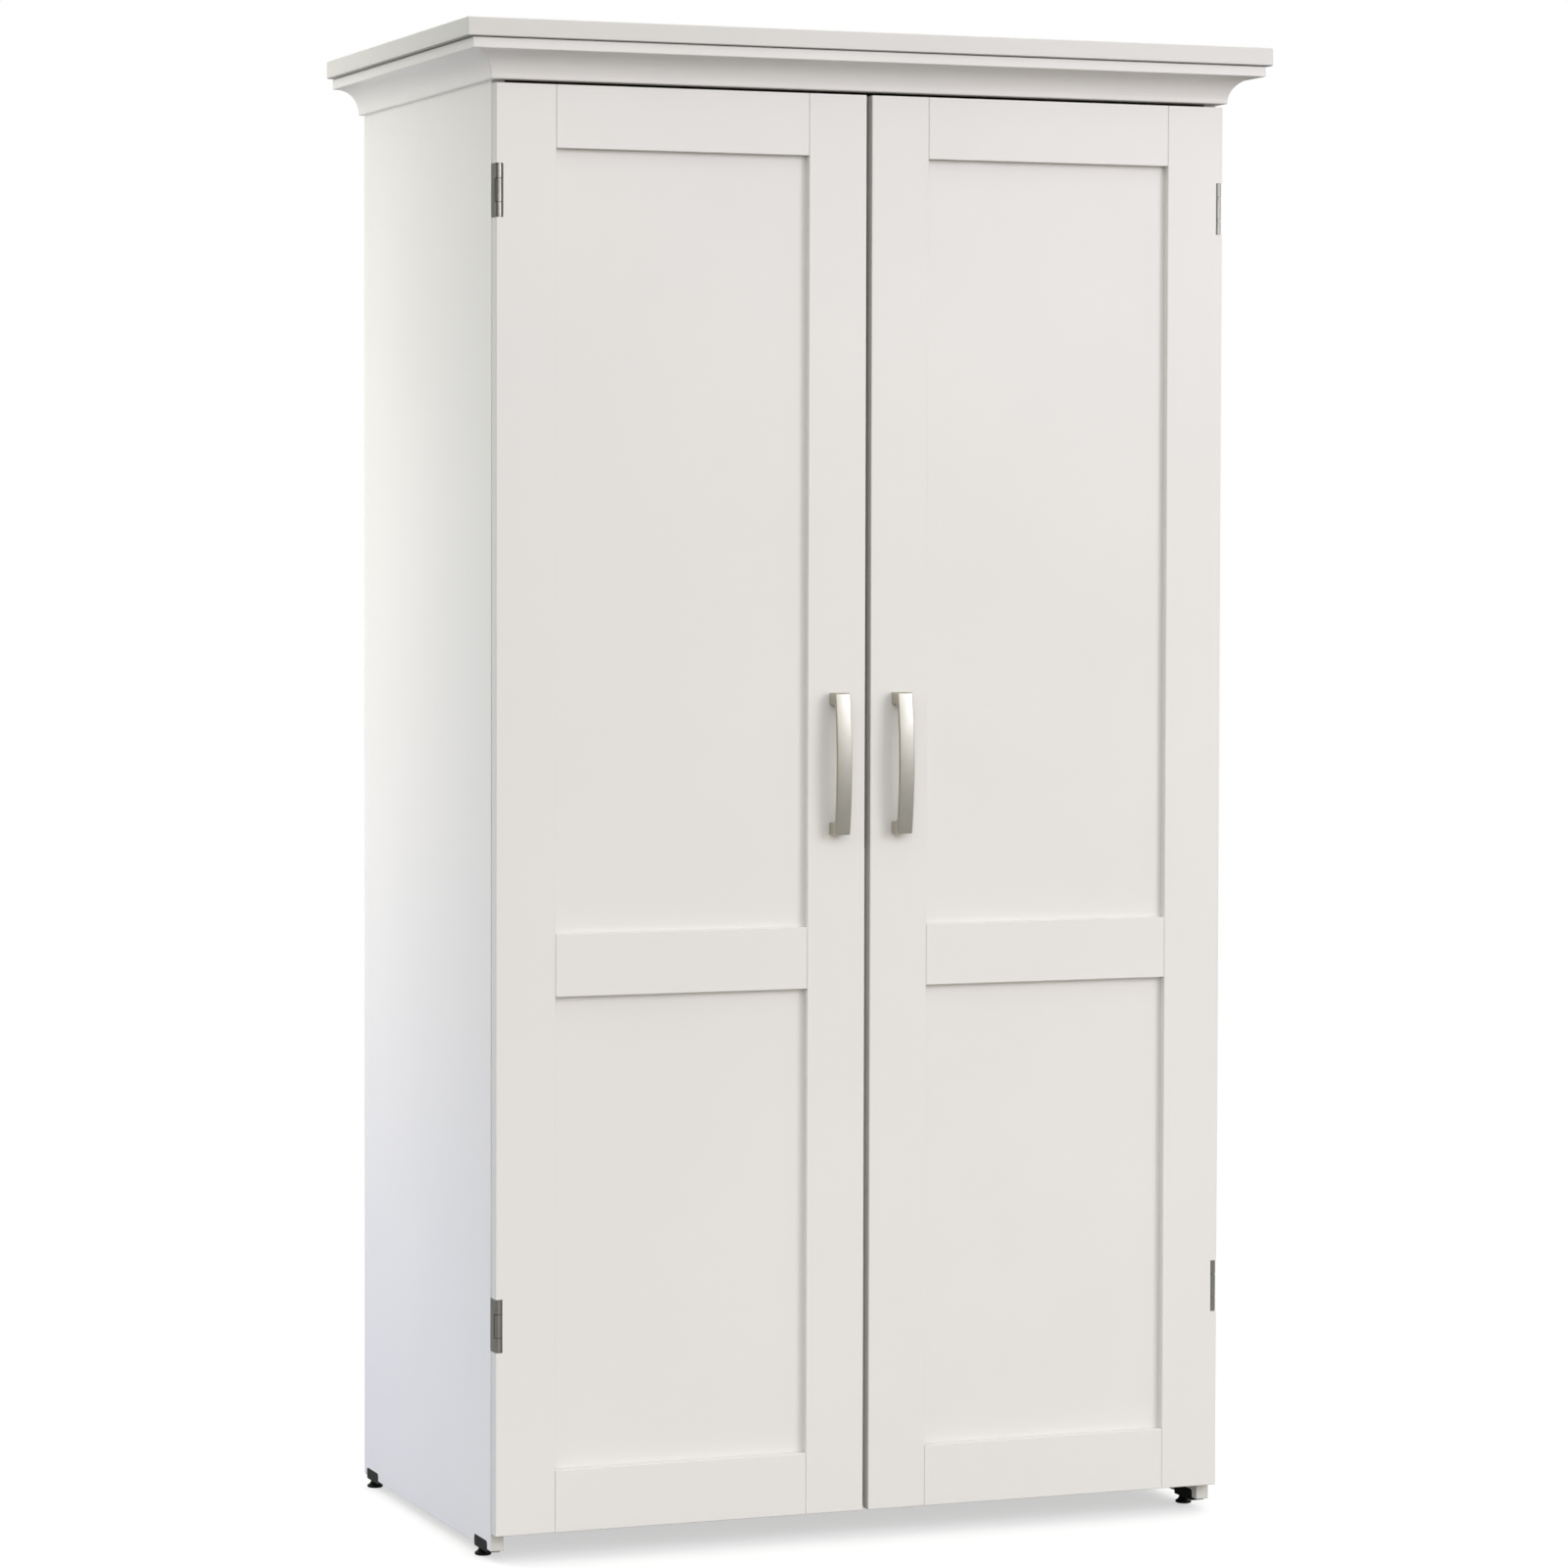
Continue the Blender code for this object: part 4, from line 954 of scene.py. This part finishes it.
# %% [markdown]
# ## Nails in the back
#
# The two hardboard sheets are nailed on from behind, into the back edges of the side panels, the
# fixed shelf, the bottom panel and the centre partition. The heads are flat with a soft rim and
# stand less than half a millimetre proud, inside the cabinet's depth.

# %% Nail heads
NAIL_PROFILE = [
    (0, -0.0004), (0.0019, -0.0004), (0.0022, 0.00005), (0.0022, 0.00016),
    (0.0020, 0.00028), (0.0012, 0.00034), (0, 0.00036),
]
NAIL_STEPS = 20
NAIL_GAP = 0.115
FROM_SHEET_EDGE, FROM_SHEET_END, ABOVE_MIDDLE = 0.0042, 0.012, 0.001


def spaced(start, end, gap):
    """Evenly spaced places from start to end, about gap apart."""
    count = max(1, round((end - start) / gap))
    return [start + (end - start) * step / count for step in range(count + 1)]


sheet_low, sheet_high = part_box("back_panel_lower")
top_low, top_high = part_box("back_panel_upper")
bottom_low, bottom_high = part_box("bottom_panel")
upright_x = (side_low.x + side_high.x) / 2
spots = []
for low, high in ((sheet_low, sheet_high), (top_low, top_high)):
    for height in spaced(low.z + FROM_SHEET_END, high.z - FROM_SHEET_END, NAIL_GAP):
        spots += [(upright_x, height), (-upright_x, height)]
rows = [
    (bottom_low.z + bottom_high.z) / 2 + ABOVE_MIDDLE, sheet_high.z - FROM_SHEET_EDGE,
    top_low.z + FROM_SHEET_EDGE,
]
for height in rows:
    spots += [(x, height) for x in spaced(upright_x, -upright_x, NAIL_GAP)[1:-1]]
spots += [(0.0, height) for height in spaced(rows[0], rows[1], NAIL_GAP)[1:-1]]

places = [((x, sheet_high.y, z), (0, 1, 0)) for x, z in spots]
nails = copies(turned(NAIL_PROFILE, NAIL_STEPS), places)
add_piece("back_nails", nails, zinc, "carcass")
print("nails:", len(spots))

# %% [markdown]
# ## Cam fittings
#
# Boards like these are joined by cams: a round drum in the underside of the fixed shelf and the
# bottom panel pulls on a bolt in the side panel. Only the drum's face shows, level with the
# board but for a hair, with a cross in it for the screwdriver.

# %% Cams under the two fixed boards
CAM_FROM_END = 0.034
CAM_ROWS = (0.050, 0.430)
places = []
for low, high in (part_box("fixed_shelf"), (bottom_low, bottom_high)):
    for sign in SIDES.values():
        x = sign * (abs(high.x) - CAM_FROM_END)
        places += [((x, low.y + row, low.z), (0, 0, -1)) for row in CAM_ROWS]
add_piece("cam_fittings", copies(cam_head, places), zinc, "carcass")

# %% [markdown]
# ## Floor
#
# A white object on a white ground is lit like a product on paper: the floor runs on behind the
# object until it melts into the background. The floor here is a wide disc. Near the cabinet it
# is matt white paper that takes the soft shadow, and further out it turns by itself into plain
# white light. The camera sees the paper glow a little, which keeps that shadow faint. To the
# boards above it the floor is a duller white, or it would light the undersides as strongly as
# their fronts.

# %% Paper floor
FLOOR_RADIUS = 30.0
PAPER_ENDS, LIGHT_STARTS = 1.2, 4.0
PAPER_TO_BOARDS, PAPER_SEEN = (0.40, 0.40, 0.40), (0.50, 0.50, 0.50)
PAPER_GLOW, LIGHT_IN_METAL = 0.55, 0.24

floor_shape = bmesh.new()
bmesh.ops.create_circle(floor_shape, cap_ends=True, radius=FLOOR_RADIUS, segments=96)
floor_mesh = bpy.data.meshes.new("floor")
floor_shape.to_mesh(floor_mesh)
floor_shape.free()
floor = bpy.data.objects.new("floor", floor_mesh)
bpy.context.scene.collection.objects.link(floor)

paper, tree, shader = new_finish("floor_paper", Roughness=0.8)
rays = add_node(tree, "ShaderNodeLightPath")
seen = rays.outputs["Is Camera Ray"]
tone = blended(tree, seen, PAPER_TO_BOARDS, PAPER_SEEN)
tree.links.new(tone, shader.inputs["Base Color"])
shader.inputs["Emission Color"].default_value = (1.0, 1.0, 1.0, 1.0)
near_glow = sums(tree, "MULTIPLY", seen, PAPER_GLOW)
tree.links.new(near_glow, shader.inputs["Emission Strength"])
mirrored = sums(tree, "MULTIPLY", rays.outputs["Is Glossy Ray"], LIGHT_IN_METAL)
strength = sums(tree, "MAXIMUM", seen, mirrored)
light = add_node(tree, "ShaderNodeEmission", {"Color": (1, 1, 1, 1), "Strength": strength})
distance = add_node(tree, "ShaderNodeVectorMath", {0: position(tree)}, operation="LENGTH")
far = between(tree, distance.outputs["Value"], 0.0, 1.0, PAPER_ENDS, LIGHT_STARTS)
ground = add_node(
    tree, "ShaderNodeMixShader", {0: far, 1: shader.outputs[0], 2: light.outputs[0]}
)
tree.links.new(ground.outputs[0], tree.nodes["Material Output"].inputs["Surface"])
floor.data.materials.append(paper)
print("floor radius:", FLOOR_RADIUS)

# %% [markdown]
# ## Light
#
# The room itself gives most of the light, as large white walls do. Metal needs something dark
# to mirror as well, or it looks like plastic, so a dark flag hangs on the left. It is part of
# the room's shading and shows only in reflections.

# %% Room light
ROOM_LIGHT, ROOM_COLOUR = 0.945, (0.97, 1.0, 0.955, 1)
FLAG_LIGHT, FLAG_FULL, FLAG_ENDS = 0.24, -0.35, -0.10

world = bpy.data.worlds.new("studio")
bpy.context.scene.world = world
world.use_nodes = True
tree = world.node_tree
tree.nodes.clear()
backdrop = add_node(tree, "ShaderNodeBackground", {"Color": (1, 1, 1, 1), "Strength": 1.0})
rays = add_node(tree, "ShaderNodeLightPath")
direction = add_node(tree, "ShaderNodeTexCoord").outputs["Generated"]
to_right = add_node(tree, "ShaderNodeSeparateXYZ", {"Vector": direction}).outputs["X"]
flag = between(tree, to_right, 1.0, 0.0, FLAG_FULL, FLAG_ENDS)
flag = sums(tree, "MULTIPLY", flag, rays.outputs["Is Glossy Ray"])
room = add_node(tree, "ShaderNodeBackground", {
    "Color": ROOM_COLOUR, "Strength": between(tree, flag, ROOM_LIGHT, FLAG_LIGHT),
})
either = add_node(
    tree, "ShaderNodeMixShader",
    {0: rays.outputs["Is Camera Ray"], 1: room.outputs[0], 2: backdrop.outputs[0]},
)
add_node(tree, "ShaderNodeOutputWorld", {"Surface": either.outputs[0]})
print("room light:", ROOM_LIGHT)

# %% [markdown]
# Even light from all sides looks flat, so soft boxes add direction: a high one on the right and
# one on the left for the doors, a low warm one that lifts the bottom, and two at the left side.
# Of those, a low bluish one cools the foot of the side panel, and a narrow upright one
# brightens its rear edge. The low ones and the upright one are kept out of reflections,
# because they would tint the metal or wash out the hinges.

# %% Soft boxes
def softbox(name, place, target, size, watts, colour, mirrored=True):
    """A rectangular light that faces a point; metal mirrors it unless told not to."""
    data = bpy.data.lights.new(name, "AREA")
    data.shape = "RECTANGLE"
    data.size, data.size_y = size
    data.energy = watts
    data.color = colour
    lamp = bpy.data.objects.new(name, data)
    bpy.context.scene.collection.objects.link(lamp)
    lamp.location = place
    lamp.rotation_euler = (Vector(target) - Vector(place)).to_track_quat("-Z", "Y").to_euler()
    lamp.visible_camera = False
    lamp.visible_glossy = mirrored
    print(name, watts, "W")


softbox("front_right_high", (2.6, -4.2, 2.6), (0.2, 0.0, 1.0), (2.0, 2.0), 67.8,
        (0.823, 0.832, 1.0))
softbox("front_right_low", (2.6, -4.2, 0.7), (0.2, 0.0, 0.9), (2.0, 1.2), 21.6,
        (1.0, 0.69, 0.39), mirrored=False)
softbox("front_left_high", (-1.6, -4.6, 2.8), (0.0, 0.0, 1.0), (2.0, 2.0), 37.2,
        (1.0, 0.92, 0.887))
softbox("left_low", (-1.4, 0.3, 0.10), (-0.46, 0.0, 0.35), (0.8, 0.2), 2.2, (0.34, 0.42, 1.0),
        mirrored=False)
softbox("left_strip", (-1.05, 0.42, 1.20), (-0.46, 0.12, 1.20), (0.25, 1.6), 4.9,
        (1.0, 0.97, 0.92), mirrored=False)
